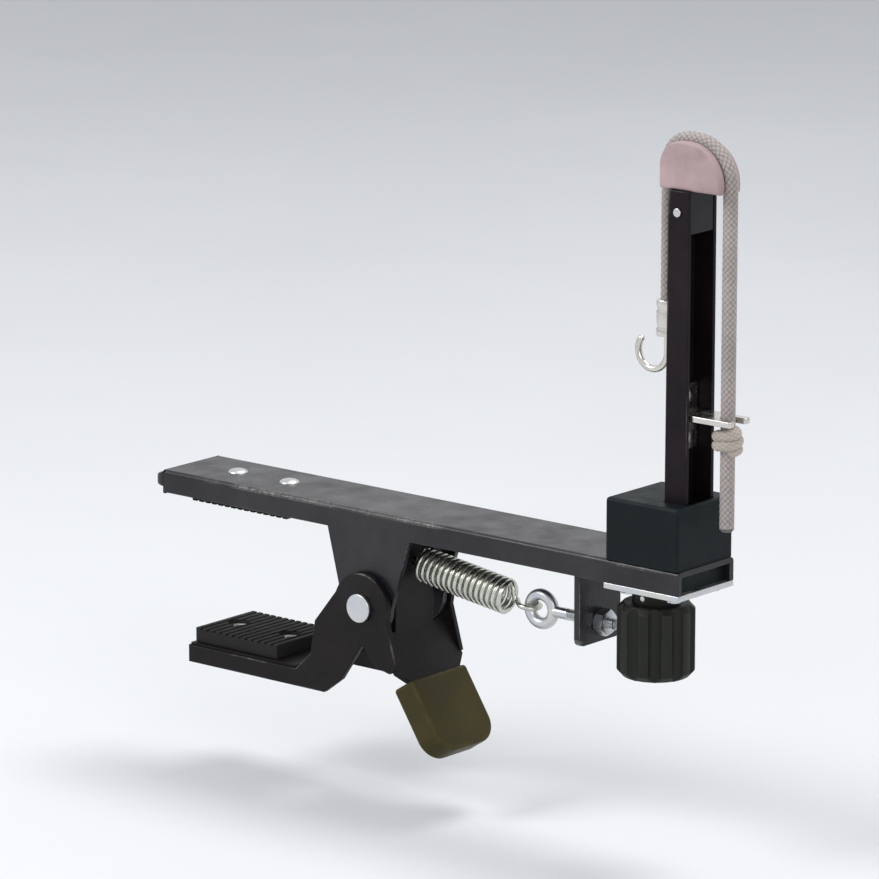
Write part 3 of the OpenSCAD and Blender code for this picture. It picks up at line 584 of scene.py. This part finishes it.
# %% [markdown]
# ## Finished pieces
# Every bmesh becomes a piece in the same steps. Its faces are turned outwards and
# shaded smooth, except across sharp edges, and a modifier lets the large faces decide
# the shading, so that flat sheet looks flat beside its rounded edges. Then the piece
# is told what it moves with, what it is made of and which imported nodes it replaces.


# %% Finish a piece
def edge_mark(bm):
    """The mark that the paints read for wear."""
    return bm.loops.layers.float.get("edge") or bm.loops.layers.float.new("edge")


def as_mesh(name, bm):
    """The bmesh as a mesh. The bmesh is used up."""
    mesh = bpy.data.meshes.new(name)
    bm.to_mesh(mesh)
    bm.free()
    return mesh


def add_piece(name, bm, finish, slot, node, sharp=38, rides=True):
    """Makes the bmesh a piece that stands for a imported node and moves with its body."""
    edge_mark(bm)
    bmesh.ops.recalc_face_normals(bm, faces=bm.faces)
    mesh = as_mesh(name, bm)
    mesh.shade_smooth()
    mesh.set_sharp_from_angle(angle=math.radians(sharp))
    mesh.materials.append(finish)
    made = linked(name, mesh)
    even = made.modifiers.new("even shading", "WEIGHTED_NORMAL")
    even.keep_sharp = True
    if rides:
        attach(made, frame["nodes"][node]["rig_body"])
    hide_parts(node)
    spans = ([v.co[i] / MM for v in mesh.vertices] for i in range(3))
    size = [round(max(span) - min(span), 1) for span in spans]
    print(f"{name}: {size} mm, {len(mesh.polygons)} faces")
    return made


print("helpers:", [f.__name__ for f in (edge_mark, as_mesh, add_piece)])

# %% [markdown]
# ## The cord
# A braid frays when it is cut cold, so the tail is cut with a hot knife, which melts
# it to a narrower dark tip. The first rings of the tube are thinner for that, and
# their faces get the mark named edge.

# %% Build the cord
SEALED, TIP_THINNER = 1.4, 0.8
cord_radii = [CORD_R - max(0.0, TIP_THINNER - ROUTE_STEP * i) for i in range(len(route))]
cord_bm = tube(route, cord_radii, 48, braid(BRAID_DEPTH, BRAID_LAY))
melted = edge_mark(cord_bm)
for face in cord_bm.faces:
    for loop in face.loops:
        loop[melted] = float(loop.vert.co.z < (TAIL_Z + SEALED) * MM)
cord_piece = add_piece("net_cord_braided", cord_bm, CORD, "cord", "net_cord", sharp=80)

# %% [markdown]
# ## The stopper knot
# Below the cleat's fork the cord is tied in a stopper knot: two tight turns round its
# own part, with both ends tucked in. It is a tube on a short helix.

# %% Tie the knot
KNOT_Z, KNOT_R, KNOT_WIRE, KNOT_TURNS, KNOT_RISE = 52.3, 3.35, 1.95, 2.15, 3.1
KNOT_STEPS, TUCK_FROM, TUCK_IN = 120, 0.86, 1.5
KNOT_DEPTH, KNOT_LAY = 0.25, 12
knot_path = []
for i in range(KNOT_STEPS + 1):
    at = i / KNOT_STEPS
    tuck = max(0.0, abs(2 * at - 1) - TUCK_FROM) / (1 - TUCK_FROM)
    angle, reach = 2 * math.pi * KNOT_TURNS * at, KNOT_R - TUCK_IN * tuck
    knot_path.append((OUTER_X + reach * math.cos(angle), reach * math.sin(angle),
                      KNOT_Z + KNOT_RISE * (at - 0.5) * KNOT_TURNS))
knot_path, knot_radii = rounded_ends(knot_path, KNOT_WIRE, rings=4)
knot_bm = tube(knot_path, knot_radii, 32, braid(KNOT_DEPTH, KNOT_LAY))
knot_piece = add_piece("stopper_knot", knot_bm, KNOT_CORD, "cord", "cord_knot", sharp=80)

# %% [markdown]
# ## Ferrule and hook
# At the cord's other end a crimped ferrule holds a bent wire hook, which takes the
# eye of the net. A ferrule is round, so its profile is spun round its axis, with two
# waists where the tool pressed it. Cord, knot and hook move with the post.


# %% Build the ferrule and hook
def turned(profile, centre, axis, steps=40, bm=None):
    """Spins a profile of (radius, height) points in millimetres round an axis."""
    bm = bmesh.new() if bm is None else bm
    axis, centre = Vector(axis).normalized(), Vector(centre)
    side = axis.orthogonal().normalized()
    verts = [bm.verts.new((centre + side * r + axis * h) * MM) for r, h in profile]
    edges = [bm.edges.new(pair) for pair in zip(verts, verts[1:])]
    bmesh.ops.spin(bm, geom=verts + edges, cent=centre * MM, axis=axis, dvec=(0, 0, 0),
                   angle=2 * math.pi, steps=steps, use_merge=True, use_duplicate=False)
    bmesh.ops.remove_doubles(bm, verts=bm.verts, dist=0.001 * MM)
    return bm


def pour(source, bm):
    """Adds all of source to bm. source is used up."""
    mesh = as_mesh("poured", source)
    bm.from_mesh(mesh)
    bpy.data.meshes.remove(mesh)


FERRULE_R, FERRULE_LEN, WAIST_R = 3.8, 12.0, 3.45
HOOK_BEND_Z, HOOK_R, HOOK_WIRE, HOOK_TURN, HOOK_STEPS = 78.0, 6.0, 1.2, math.radians(215), 40
ferrule_z = INNER_END_Z - FERRULE_LEN
waist = ((FERRULE_R, 0), (WAIST_R, 0.5), (WAIST_R, 1.3), (FERRULE_R, 1.8))
waists = [(r, z + along) for z in (2.2, 8.0) for r, along in waist]
hook_bm = turned([(0, 0.5), (3.1, 0.5), (FERRULE_R - 0.2, 0), (FERRULE_R, 0.4), *waists,
                  (FERRULE_R, 11.6), (FERRULE_R - 0.3, FERRULE_LEN), (2.7, FERRULE_LEN),
                  (0, FERRULE_LEN)], (INNER_X, 0, ferrule_z), (0, 0, 1))
hook_angles = (HOOK_TURN * i / HOOK_STEPS for i in range(HOOK_STEPS + 1))
hook_path = [(INNER_X, 0, ferrule_z + 1.5), (INNER_X, 0, ferrule_z - 3),
             *((INNER_X - HOOK_R + HOOK_R * math.cos(a), 0, HOOK_BEND_Z - HOOK_R * math.sin(a))
               for a in hook_angles)]
hook_path, hook_radii = rounded_ends(hook_path, HOOK_WIRE, start=False)
pour(tube(hook_path, hook_radii, 20), hook_bm)
hook_piece = add_piece("net_hook_bent", hook_bm, NICKEL, "chrome", "net_hook")

# %% [markdown]
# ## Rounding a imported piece
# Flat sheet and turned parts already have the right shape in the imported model, so
# they start from a copy of it. The copy is welded, its flat faces are joined up, and
# its edges are rounded, because no real edge is perfectly sharp and the thin bright
# line along a rounded edge is what makes steel look like steel. The rounded faces
# get the mark named edge, which the paints read for their wear.

# %% Copy and round a piece
LEAST_BEND, STRIP = math.radians(28), 1.2


def join_flat_faces(bm):
    bmesh.ops.dissolve_limit(bm, angle_limit=math.radians(0.6), verts=bm.verts, edges=bm.edges)


def welded_copy(node):
    """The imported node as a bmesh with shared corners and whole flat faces."""
    bm = bmesh.new()
    bm.from_mesh(frame["nodes"][node].data)
    bmesh.ops.remove_doubles(bm, verts=bm.verts, dist=0.002 * MM)
    join_flat_faces(bm)
    bmesh.ops.recalc_face_normals(bm, faces=bm.faces)
    return bm


def round_edges(bm, width, segments, pick=None):
    """Rounds the outward edges that bend enough to be sharp. pick chooses among them by
    the edge's two ends in millimetres. New faces narrower than STRIP widths are marked."""
    mark = edge_mark(bm)
    chosen = [edge for edge in bm.edges
              if edge.is_manifold and edge.is_convex and edge.calc_face_angle() > LEAST_BEND
              and (pick is None or pick(*(v.co / MM for v in edge.verts)))]
    made = bmesh.ops.bevel(bm, geom=chosen, offset=width * MM, offset_type="OFFSET",
                           segments=segments, profile=0.5, affect="EDGES",
                           clamp_overlap=False, material=-1)
    for face in made["faces"]:
        if 2 * face.calc_area() < STRIP * width * MM * face.calc_perimeter():
            for loop in face.loops:
                loop[mark] = 1.0


def dressed(node, finish, slot, *rounds):
    """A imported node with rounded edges. Each round is (width, segments) for all the
    edges that are still sharp, or (width, segments, pick) for some of them."""
    bm = welded_copy(node)
    for settings in rounds:
        round_edges(bm, *settings)
    add_piece(node + "_dressed", bm, finish, slot, node)


print("helpers:", [f.__name__ for f in (welded_copy, round_edges, dressed)])

# %% [markdown]
# ## The arm
# The arm is one channel of two-millimetre steel. Pressing leaves a wide rounded bend
# along its two top edges and thin crisp edges elsewhere, so the long top edges get a
# wide bevel and the rest a narrow one. Its ears, its stop plate and the lug for the
# eye bolt are part of the same pressing. A plastic nose closes the channel's end.
# The small functions pick edges by their place, with a slack of NEAR millimetres.

# %% Arm and nose
NEAR = 0.1
ARM_FROM, ARM_HALF, ARM_TOP = -34.0, 15.0, 9.5
LUG_X, LUG_HALF, LUG_BOTTOM = 147.5, 11.0, -24.0


def long_top_edge(a, b):
    return (min(a.z, b.z) > ARM_TOP - NEAR and min(abs(a.y), abs(b.y)) > ARM_HALF - NEAR
            and a.y * b.y > 0 and abs(a.x - b.x) > 3)


def lug_corner(a, b):
    return (abs(a.x - b.x) > 1 and abs(a.y) > LUG_HALF - NEAR
            and a.z < LUG_BOTTOM + NEAR and a.x > LUG_X - NEAR)


def nose_outside(a, b):
    return max(a.x, b.x) < ARM_FROM + NEAR and min(a.x, b.x) < ARM_FROM - NEAR


dressed("arm", ARM_PAINT, "black_paint", (1.5, 5, long_top_edge), (2.5, 4, lug_corner),
        (0.22, 2))
dressed("nose_cap", BLACK_PLASTIC, "black_plastic", (0.8, 4, nose_outside))

# %% [markdown]
# ## Domed rivets
# The pads are riveted through the steel. A rivet's head is a low dome, so the whole
# rivet is one profile, spun round its axis. Its flat foot lies deep in a well of the
# pad, where it can't scratch the table.

# %% Rivets of the pads
PAD_RIVET_X, FOOT_UNDER = (-12.0, 12.0), -52.5
UPPER_WELL, LOWER_WELL = 7.0, 5.0
SHANK_R, HEAD_R, HEAD_T, HEAD_RIM = 2.0, 3.6, 1.2, 0.2


def dome(radius, height):
    """The profile of a low dome, from its top to its rim."""
    return [(radius * math.sin(a), height * (1.25 * math.cos(a) - 0.25))
            for a in (math.acos(0.2) * i / 8 for i in range(9))]


def pad_rivets(name, node, face_z, out, well):
    """A dome on the steel's face, a shank, and a flat foot at the depth well."""
    foot = [(SHANK_R, -well), (HEAD_R, -well), (HEAD_R, -well - HEAD_T + HEAD_RIM),
            (HEAD_R - HEAD_RIM, -well - HEAD_T), (0, -well - HEAD_T)]
    bm = bmesh.new()
    for x in PAD_RIVET_X:
        turned([*dome(HEAD_R, HEAD_T), (HEAD_R, 0), (SHANK_R, 0), *foot], (x, 0, face_z),
               (0, 0, out), bm=bm)
    add_piece(name, bm, ZINC, "zinc", node)


pad_rivets("upper_pad_rivets_domed", "upper_pad_rivets", ARM_TOP, 1, UPPER_WELL)
pad_rivets("lower_pad_rivets_domed", "lower_pad_rivets", FOOT_UNDER, -1, LOWER_WELL)

# %% [markdown]
# ## Rubber pads
# The two pads that meet the table are moulded rubber. Their gripping faces have
# shallow grooves across the arm, which let the rubber bite and keep dust out of the
# contact. The grooves are cut with a boolean: a row of thin bars is taken away from
# a copy of the pad, and the pad keeps its outline.

# %% Cut the grooves and finish the pads
GROOVE_PITCH, GROOVE_W, GROOVE_DEPTH, PAD_RIM = 3.0, 1.0, 0.8, 1.2
JAW_GAP = 45.0


def cut_away(bm, cutter):
    """What is left of bm without the cutter. Both are used up."""
    kept, bars = (linked("cut", as_mesh("cut", part)) for part in (bm, cutter))
    cut = kept.modifiers.new("cut", "BOOLEAN")
    cut.operation, cut.solver, cut.object = "DIFFERENCE", "EXACT", bars
    left = bmesh.new()
    left.from_object(kept, bpy.context.evaluated_depsgraph_get())
    for thing in (kept, bars):
        bpy.data.meshes.remove(thing.data)
    bmesh.ops.remove_doubles(left, verts=left.verts, dist=0.002 * MM)
    return left


def box(bm, low, high):
    """Adds a plain box between two corners in millimetres."""
    low, high = Vector(low), Vector(high)
    size = (high - low) * MM
    place = Matrix.Translation((low + high) / 2 * MM) @ Matrix.Diagonal((*size, 1))
    bmesh.ops.create_cube(bm, size=1, matrix=place)


def grooved_pad(name, node, face_z, inward, half_length, half_width):
    """A pad with grooves in the face at face_z. inward is 1 if the rubber lies above it."""
    bars = bmesh.new()
    count = int((2 * half_length - 2 * PAD_RIM) // GROOVE_PITCH)
    low, high = sorted((face_z - inward, face_z + inward * GROOVE_DEPTH))
    for i in range(count + 1):
        x = (i - count / 2) * GROOVE_PITCH
        box(bars, (x - GROOVE_W / 2, -half_width - 1, low),
            (x + GROOVE_W / 2, half_width + 1, high))
    bm = cut_away(welded_copy(node), bars)
    join_flat_faces(bm)
    round_edges(bm, 0.18, 2)
    add_piece(name, bm, RUBBER, "rubber", node)


grooved_pad("upper_pad_grooved", "upper_pad", 0.0, 1, 22.0, 12.9)
grooved_pad("lower_pad_grooved", "lower_pad", -JAW_GAP, -1, 19.0, 15.0)

# %% [markdown]
# ## The lever and its grip
# The lever is one pressing too: two cheeks, the claw's foot that goes under the
# table, and the handle. Everything that a hand or the table touches is rounded. The
# vinyl grip is dipped or pulled over the handle, so its outer edges are fully round
# and its mouth ends in a softer rim.

# %% Lever and grip
CHEEK_IN, CHEEK_OUT = 16.0, 18.0
HANDLE_X, HANDLE_Z, HANDLE_ANGLE = 66.5, -34.0, math.radians(57)
GRIP_HALF, GRIP_OUT, GRIP_IN, GRIP_END = 14.4, 4.0, -5.5, 45.5


def handle_place(p):
    """A point as (along the handle, across it, out from its inner face)."""
    x, z = p.x - HANDLE_X, p.z - HANDLE_Z
    cos, sin = math.cos(HANDLE_ANGLE), math.sin(HANDLE_ANGLE)
    return x * cos - z * sin, p.y, x * sin + z * cos


def on_grip_skin(a, b):
    """Whether an edge lies on the outer skin of the grip and not in its mouth."""
    def outside(p):
        along, across, out = handle_place(p)
        return abs(across) > GRIP_HALF or not GRIP_IN <= out <= GRIP_OUT or along > GRIP_END
    return outside(a) and outside(b)


def cheek_rim(a, b):
    return min(abs(a.y), abs(b.y)) > CHEEK_OUT - NEAR and a.y * b.y > 0


def plate_edge(a, b):
    """Edges of the foot, the handle and the tab, away from the cheeks' inner faces."""
    return max(abs(a.y), abs(b.y)) < CHEEK_IN - NEAR


dressed("clamp_lever", LEVER_PAINT, "lever_paint", (0.45, 3, cheek_rim), (0.25, 2, plate_edge))
grip = welded_copy("handle_grip")
round_edges(grip, 1.3, 4, on_grip_skin)
add_piece("handle_grip_rounded", grip, VINYL, "vinyl", "handle_grip")

# %% [markdown]
# ## Pivot
# The lever turns on a headed pin. A spring clip in a groove holds the pin, and two
# nylon washers keep the painted cheeks from scraping the arm's ears.

# %% Pivot pin, clip and washers
dressed("pivot_pin", ZINC, "zinc", (0.35, 3))
dressed("pivot_clip", ZINC, "zinc", (0.2, 2))
dressed("pivot_washers", NYLON, "nylon", (0.15, 2))

# %% [markdown]
# ## The tension spring
# The spring pulls the tab of the lever towards the eye bolt, and that closes the
# jaw. It is one wire: a hook through the tab's hole, a tight row of coils, and an
# open loop in the eye. Its line slopes a little, because the eye sits lower than the
# tab. The piece is attached to neither the lever nor the arm.

# %% Wind the spring
SPRING_X, SPRING_Z, SPRING_LEN = 65.3, -9.0, 58.45
LEAN = math.atan2(8.0, 57.9)
WIRE_R, COIL_R, LOOP_R, LOOP_TAIL = 0.9, 5.35, 3.6, 2.4
COIL_FROM, COIL_TO, CURLS, PER_CURL = 7.7, 46.25, 16, 16


def smooth_path(points, steps):
    """More points on a smooth curve through the given ones."""
    p = [Vector(q) for q in points]
    p = [2 * p[0] - p[1], *p, 2 * p[-1] - p[-2]]
    out = []
    for a, b, c, d in zip(p, p[1:], p[2:], p[3:]):
        for i in range(steps):
            t = i / steps
            out.append(0.5 * (2 * b + (c - a) * t + (2 * a - 5 * b + 4 * c - d) * t ** 2
                              + (3 * b - a - 3 * c + d) * t ** 3))
    return [*out, p[-2]]


def on_spring_line(p):
    """A point (along, across, up) of the spring's own line, placed in the model."""
    along, across, up = p
    cos, sin = math.cos(LEAN), math.sin(LEAN)
    return Vector((SPRING_X + along * cos + up * sin, across, SPRING_Z - along * sin + up * cos))


slope, loop_x = math.tan(LEAN), SPRING_LEN - LOOP_R
hook_in = [(-4.5 * slope, 0, 4.5), (-1.6 * slope, 0, 1.6), (0.48, 0, 0.48), (1.6, 0, 0),
           (4.3, 0, 0), (5.32, 0, 0.41), (5.9, 0, 1.6), (6.35, 0.3, 3.6)]
coils = [(COIL_FROM + (COIL_TO - COIL_FROM) * i / (CURLS * PER_CURL),
          COIL_R * math.sin(2 * math.pi * i / PER_CURL),
          COIL_R * math.cos(2 * math.pi * i / PER_CURL)) for i in range(CURLS * PER_CURL + 1)]
loop_out = [(47.6, -0.3, 3.6), (48.05, 0, 1.6), (48.63, 0, 0.41), (49.65, 0, 0),
            (51.25, -1.62, 0),
            *((loop_x + LOOP_R * math.cos(a), LOOP_R * math.sin(a), 0)
              for a in (math.radians(-115 + 20 * i) for i in range(11))),
            (loop_x - LOOP_TAIL, LOOP_R, 0)]
wire = smooth_path([on_spring_line(p) for p in (*hook_in, *coils, *loop_out)], 3)
wire, wire_radii = rounded_ends(wire, WIRE_R)
spring = add_piece("tension_spring_wound", tube(wire, wire_radii, 12), SPRING_WIRE,
                   "spring_steel", "tension_spring", sharp=60, rides=False)
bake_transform(spring)

# %% [markdown]
# ## Eye bolt
# The spring's loop sits in the ring of an eye bolt, whose threaded shank goes through
# the lug of the arm. The ring is a small circle spun round the eye's axis. The thread
# is a relief on a tube: a sharp wave that moves along with the turn, as a die cuts it.

# %% Eye bolt and its thread
EYE_X, EYE_Z, EYE_R, ROD_R = 125.0, -17.0, 5.0, 2.0
SHANK_FROM, SHANK_TO, THREAD_FROM, IN_RING = 130.0, 157.0, 136.5, 0.6
BOLT_PITCH, BOLT_DEPTH, BOLT_TIP = 0.7, 0.4, 0.5


def thread(pitch, depth, start):
    """The relief of a thread that begins at a length of its rod and runs to its end."""
    def relief(turn, length):
        inside = min(1.0, max(0.0, (length - start) / pitch))
        wave = abs(2 * ((length / pitch - turn) % 1) - 1)
        return depth * inside * (min(1.0, 1.25 * wave) - 1)
    return relief


def rod_path(start, end, step):
    """Evenly spaced points from start to end, in millimetres."""
    start, end = Vector(start), Vector(end)
    count = math.ceil((end - start).length / step)
    return [start.lerp(end, i / count) for i in range(count + 1)]


ring = [(EYE_R + ROD_R * math.cos(a), ROD_R * math.sin(a))
        for a in (math.pi / 10 * i for i in range(21))]
eye = turned(ring, (EYE_X, 0, EYE_Z), (0, 1, 0), 56)
shank = rod_path((SHANK_FROM - IN_RING, 0, EYE_Z), (SHANK_TO, 0, EYE_Z), BOLT_PITCH / 8)
shank_radii = [ROD_R - max(0.0, BOLT_TIP - (SHANK_TO - p.x)) for p in shank]
bolt_thread = thread(BOLT_PITCH, BOLT_DEPTH, THREAD_FROM - SHANK_FROM + IN_RING)
pour(tube(shank, shank_radii, 24, bolt_thread), eye)
add_piece("eye_bolt_threaded", eye, ZINC, "zinc", "eye_bolt")

# %% [markdown]
# ## Nuts
# Two nuts lock the eye bolt where the spring has the right pull. A nut is a hexagon
# whose corners are turned down to a cone. Here a round profile is spun, and its outer
# points are then moved out to the six flats and back along the cone.

# %% Nuts on both sides of the lug
NUT_X, NUT_ACROSS, NUT_T, NUT_CHAMFER, NUT_GAP = (145.5, 152.0), 8.0, 4.0, 0.3, 0.02
CORNER_CONE = math.tan(math.radians(30))


def add_nut(bm, centre, axis, across, thickness, hole):
    """A hexagon nut with its corners turned down to a cone of 30 degrees."""
    half, flat = thickness / 2, across / 2
    face, shoulder = 0.95 * flat, half - NUT_CHAMFER
    axis, centre = Vector(axis), Vector(centre) * MM
    nut = turned([(hole, -half), (face, -half), (flat, -shoulder), (flat, shoulder),
                  (face, half), (hole, half), (hole, -half)], centre / MM, axis, 48)
    side = axis.orthogonal().normalized()
    up = axis.cross(side)
    for vert in nut.verts:
        arm = vert.co - centre
        height = arm.dot(axis)
        flatwise = arm - axis * height
        if flatwise.length > (face + flat) / 2 * MM:
            angle = math.atan2(flatwise.dot(up), flatwise.dot(side))
            turn = (angle + math.pi / 6) % (math.pi / 3) - math.pi / 6
            reach = flat / math.cos(turn)
            drop = math.copysign((half - (reach - face) * CORNER_CONE) * MM, height)
            vert.co = centre + flatwise.normalized() * reach * MM + axis * drop
    pour(nut, bm)


nuts = bmesh.new()
for x in NUT_X:
    add_nut(nuts, (x, 0, EYE_Z), (1, 0, 0), NUT_ACROSS, NUT_T, ROD_R + NUT_GAP)
add_piece("eye_bolt_nuts_hexagon", nuts, ZINC, "zinc", "eye_bolt_nuts")

# %% [markdown]
# ## Socket, thrust plate and screws
# The socket is a moulded block that guides the post. A moulded block has generous
# radii outside, which let it leave its mould. This one is screwed to the arm from
# below through a plated thrust plate, which carries the push of the height screw.

# %% Socket and its hardware
SOCKET_FROM, SOCKET_TO, SOCKET_TOP = 163.5, 193.5, 30.5


def socket_outside(a, b):
    """Edges of the block's outer box, but not those where it meets the arm."""
    def outer(p):
        return (min(abs(p.x - SOCKET_FROM), abs(p.x - SOCKET_TO)) < NEAR
                or abs(abs(p.y) - ARM_HALF) < NEAR)
    return outer(a) and outer(b) and max(a.z, b.z) > SOCKET_TOP - NEAR


def socket_mouth(a, b):
    """The rim of the hole that the post comes out of."""
    return min(a.z, b.z) > SOCKET_TOP - NEAR


dressed("post_socket", SOCKET_PLASTIC, "socket_plastic", (1.2, 4, socket_outside),
        (0.5, 3, socket_mouth))
dressed("thrust_plate", ZINC, "zinc", (0.25, 2))
dressed("socket_screws", ZINC, "zinc", (0.18, 2))

# %% [markdown]
# ## Height screw and knob
# Turning the knob lifts the post. The knob is fixed to the lower end of the screw
# with a cross pin, a collar on the screw bears on the thrust plate, and the thread
# drives the post's foot inside the socket. The knob's flutes keep their rounded
# edges fine, so that each flute draws two thin highlights.

# %% Screw, washer and knob
SCREW_X, SCREW_R, SCREW_FROM, SCREW_TO = 173.5, 2.5, -25.2, 26.5
COLLAR_R, COLLAR_FROM, COLLAR_TO, COLLAR_RIM = 4.5, 1.5, 3.5, 0.2
SCREW_PITCH, SCREW_DEPTH, SCREW_TIP, RUN_OUT = 0.8, 0.45, 0.6, 0.6
screw = turned([(0, COLLAR_FROM), (COLLAR_R - COLLAR_RIM, COLLAR_FROM),
                (COLLAR_R, COLLAR_FROM + COLLAR_RIM), (COLLAR_R, COLLAR_TO - COLLAR_RIM),
                (COLLAR_R - COLLAR_RIM, COLLAR_TO), (0, COLLAR_TO)], (SCREW_X, 0, 0), (0, 0, 1))
rod = rod_path((SCREW_X, 0, SCREW_FROM), (SCREW_X, 0, SCREW_TO), SCREW_PITCH / 8)
rod_radii = [SCREW_R - max(0.0, SCREW_TIP - (SCREW_TO - p.z)) for p in rod]
screw_thread = thread(SCREW_PITCH, SCREW_DEPTH, COLLAR_TO - SCREW_FROM + RUN_OUT)
pour(tube(rod, rod_radii, 24, screw_thread), screw)
add_piece("height_screw_threaded", screw, ZINC, "zinc", "height_screw")
dressed("knob_washer", NYLON, "nylon", (0.12, 2))
dressed("height_knob", KNOB_PLASTIC, "knob_plastic", (0.3, 3))
dressed("knob_pin", ZINC, "zinc", (0.15, 2))

# %% [markdown]
# ## Post and foot
# The post is a channel folded from thin sheet, open on the side away from the net.
# Its two folds are round outside, and its cut edges are thin. A metal foot with the
# thread for the height screw is riveted in at the bottom.

# %% Post and foot
POST_INNER_X, POST_WALL, POST_HALF, POST_TOP = 182.0, 1.5, 7.5, 133.8


def post_fold(a, b):
    return (max(a.x, b.x) < POST_INNER_X + NEAR and min(abs(a.y), abs(b.y)) > POST_HALF - NEAR
            and abs(a.z - b.z) > 3)


dressed("post", POST_PAINT, "post_paint", (1.3, 5, post_fold), (0.2, 2))
dressed("post_foot", ZINC, "zinc", (0.3, 2))

# %% [markdown]
# ## The cap
# The cap is a pale head with a deep groove for the cord, on a plug that fits inside
# the post. The plug is made black as painted shade, for the shade inside the post's
# channel. The imported model has both as one node, so a copy is cut at the top of the
# post, each half is closed with a flat face, and the two pieces stand for that node
# together. A cross pin holds the plug in the post.

# %% Cap and its pin
CAP_HALF, CUT_GAP = 6.0, 0.02


def half_of(node, z, upper):
    """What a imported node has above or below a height, closed with a flat face."""
    bm = welded_copy(node)
    cut = bmesh.ops.bisect_plane(bm, geom=[*bm.verts, *bm.edges, *bm.faces],
                                 plane_co=(0, 0, z * MM), plane_no=(0, 0, 1),
                                 clear_inner=upper, clear_outer=not upper)
    rim = [part for part in cut["geom_cut"] if isinstance(part, bmesh.types.BMEdge)]
    bmesh.ops.edgeloop_fill(bm, edges=rim)
    bmesh.ops.recalc_face_normals(bm, faces=bm.faces)
    return bm


def cap_outer_rim(a, b):
    return (min(a.z, b.z) > POST_TOP - NEAR and min(abs(a.y), abs(b.y)) > CAP_HALF - NEAR
            and a.y * b.y > 0)


def cap_inner_rim(a, b):
    return max(a.z, b.z) > POST_TOP + NEAR and max(abs(a.y), abs(b.y)) < CAP_HALF


head = half_of("post_cap", POST_TOP + CUT_GAP, True)
round_edges(head, 0.9, 4, cap_outer_rim)
round_edges(head, 0.3, 2, cap_inner_rim)
add_piece("post_cap_head", head, CAP_PLASTIC, "cap_plastic", "post_cap")
plug = half_of("post_cap", POST_TOP - CUT_GAP, False)
round_edges(plug, 0.25, 2)
# The plug's black plastic is painted shade: it stands for the shade inside the post's channel.
add_piece("post_cap_plug", plug, BLACK_PLASTIC, "black_plastic", "post_cap")
dressed("cap_pin", ZINC, "zinc", (0.3, 2))

# %% [markdown]
# ## Cleat and small rivets
# The cleat is a bent plate with a fork. The cord lies in the fork, and its stopper
# knot can't slip through. The fork's tips are rounded so that they don't cut the
# cord. Small domed rivets hold the cleat and the foot.

# %% Cleat and rivets
CLEAT_END, CLEAT_Z, CLEAT_WALL, CLEAT_RIVET_DZ = 207.2, 58.0, 2.0, 7.0
FOOT_RIVET_Y, FOOT_RIVET_Z, FOOT_GRIP = 3.2, 13.4, 3.5
RIVET_R, RIVET_HEAD_T = 1.5, 1.0
post_face_x = POST_INNER_X + POST_WALL


def fork_tip(a, b):
    return min(a.x, b.x) > CLEAT_END - NEAR and abs(a.z - b.z) > 1


dressed("cord_cleat", NICKEL, "chrome", (0.9, 4, fork_tip), (0.25, 2))


def small_rivet(bm, head_at, length, radius, two_heads):
    """A domed rivet along x, with its head at a point and its shank behind that."""
    profile = [*dome(radius, RIVET_HEAD_T), (radius, 0), (RIVET_R, 0)]
    if two_heads:
        profile += [(r, -length - h) for r, h in reversed(profile)]
    else:
        profile += [(RIVET_R, 0.2 - length), (RIVET_R - 0.2, -length), (0, -length)]
    turned(profile, head_at, (1, 0, 0), 28, bm=bm)


cleat_set, foot_set = bmesh.new(), bmesh.new()
for side in (-1, 1):
    small_rivet(cleat_set, (post_face_x + CLEAT_WALL, 0, CLEAT_Z + side * CLEAT_RIVET_DZ),
                POST_WALL + CLEAT_WALL, 2.5, True)
    small_rivet(foot_set, (post_face_x, side * FOOT_RIVET_Y, FOOT_RIVET_Z),
                POST_WALL + FOOT_GRIP, 2.4, False)
add_piece("cleat_rivets_domed", cleat_set, ZINC, "zinc", "cleat_rivets")
add_piece("foot_rivets_domed", foot_set, ZINC, "zinc", "foot_rivets")

# %% [markdown]
# ## The floor
# A wide pale floor takes the shadow. With the lever open the claw swings down to
# 94.4 mm below the table top, lower than anything does at rest, so the floor lies
# just under that. It is part of the stage and not of the clamp.

# %% Lay the floor
FLOOR_Z, FLOOR_HALF = -96.0, 6
floor_finish, floor_tree, floor_shader = new_finish("floor")
patches = between(floor_tree, grain(floor_tree, 3, 3), 0.3, 0.7)
floor_colour = mixed(floor_tree, patches, (0.76, 0.77, 0.79, 1), (0.8, 0.81, 0.83, 1))
floor_tree.links.new(floor_colour, floor_shader.inputs["Base Color"])
floor_shader.inputs["Roughness"].default_value = 0.9
plane = bmesh.new()
bmesh.ops.create_grid(plane, x_segments=1, y_segments=1, size=FLOOR_HALF,
                      matrix=Matrix.Translation((0, 0, FLOOR_Z * MM)))
floor = linked("floor", as_mesh("floor", plane))
floor.data.materials.append(floor_finish)
floor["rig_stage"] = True
print("floor at", FLOOR_Z, "mm")

# %% [markdown]
# ## The sizes
# The finished pieces should fill the same box as the imported model did when it was
# loaded. Both boxes are printed, so that they can be compared.

# %% Sizes and the last line
made_box = [list(corner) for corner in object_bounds()]
for label, corners in (("cad", cad_box), ("made", made_box)):
    print(label, [[round(v / MM, 1) for v in corner] for corner in corners])
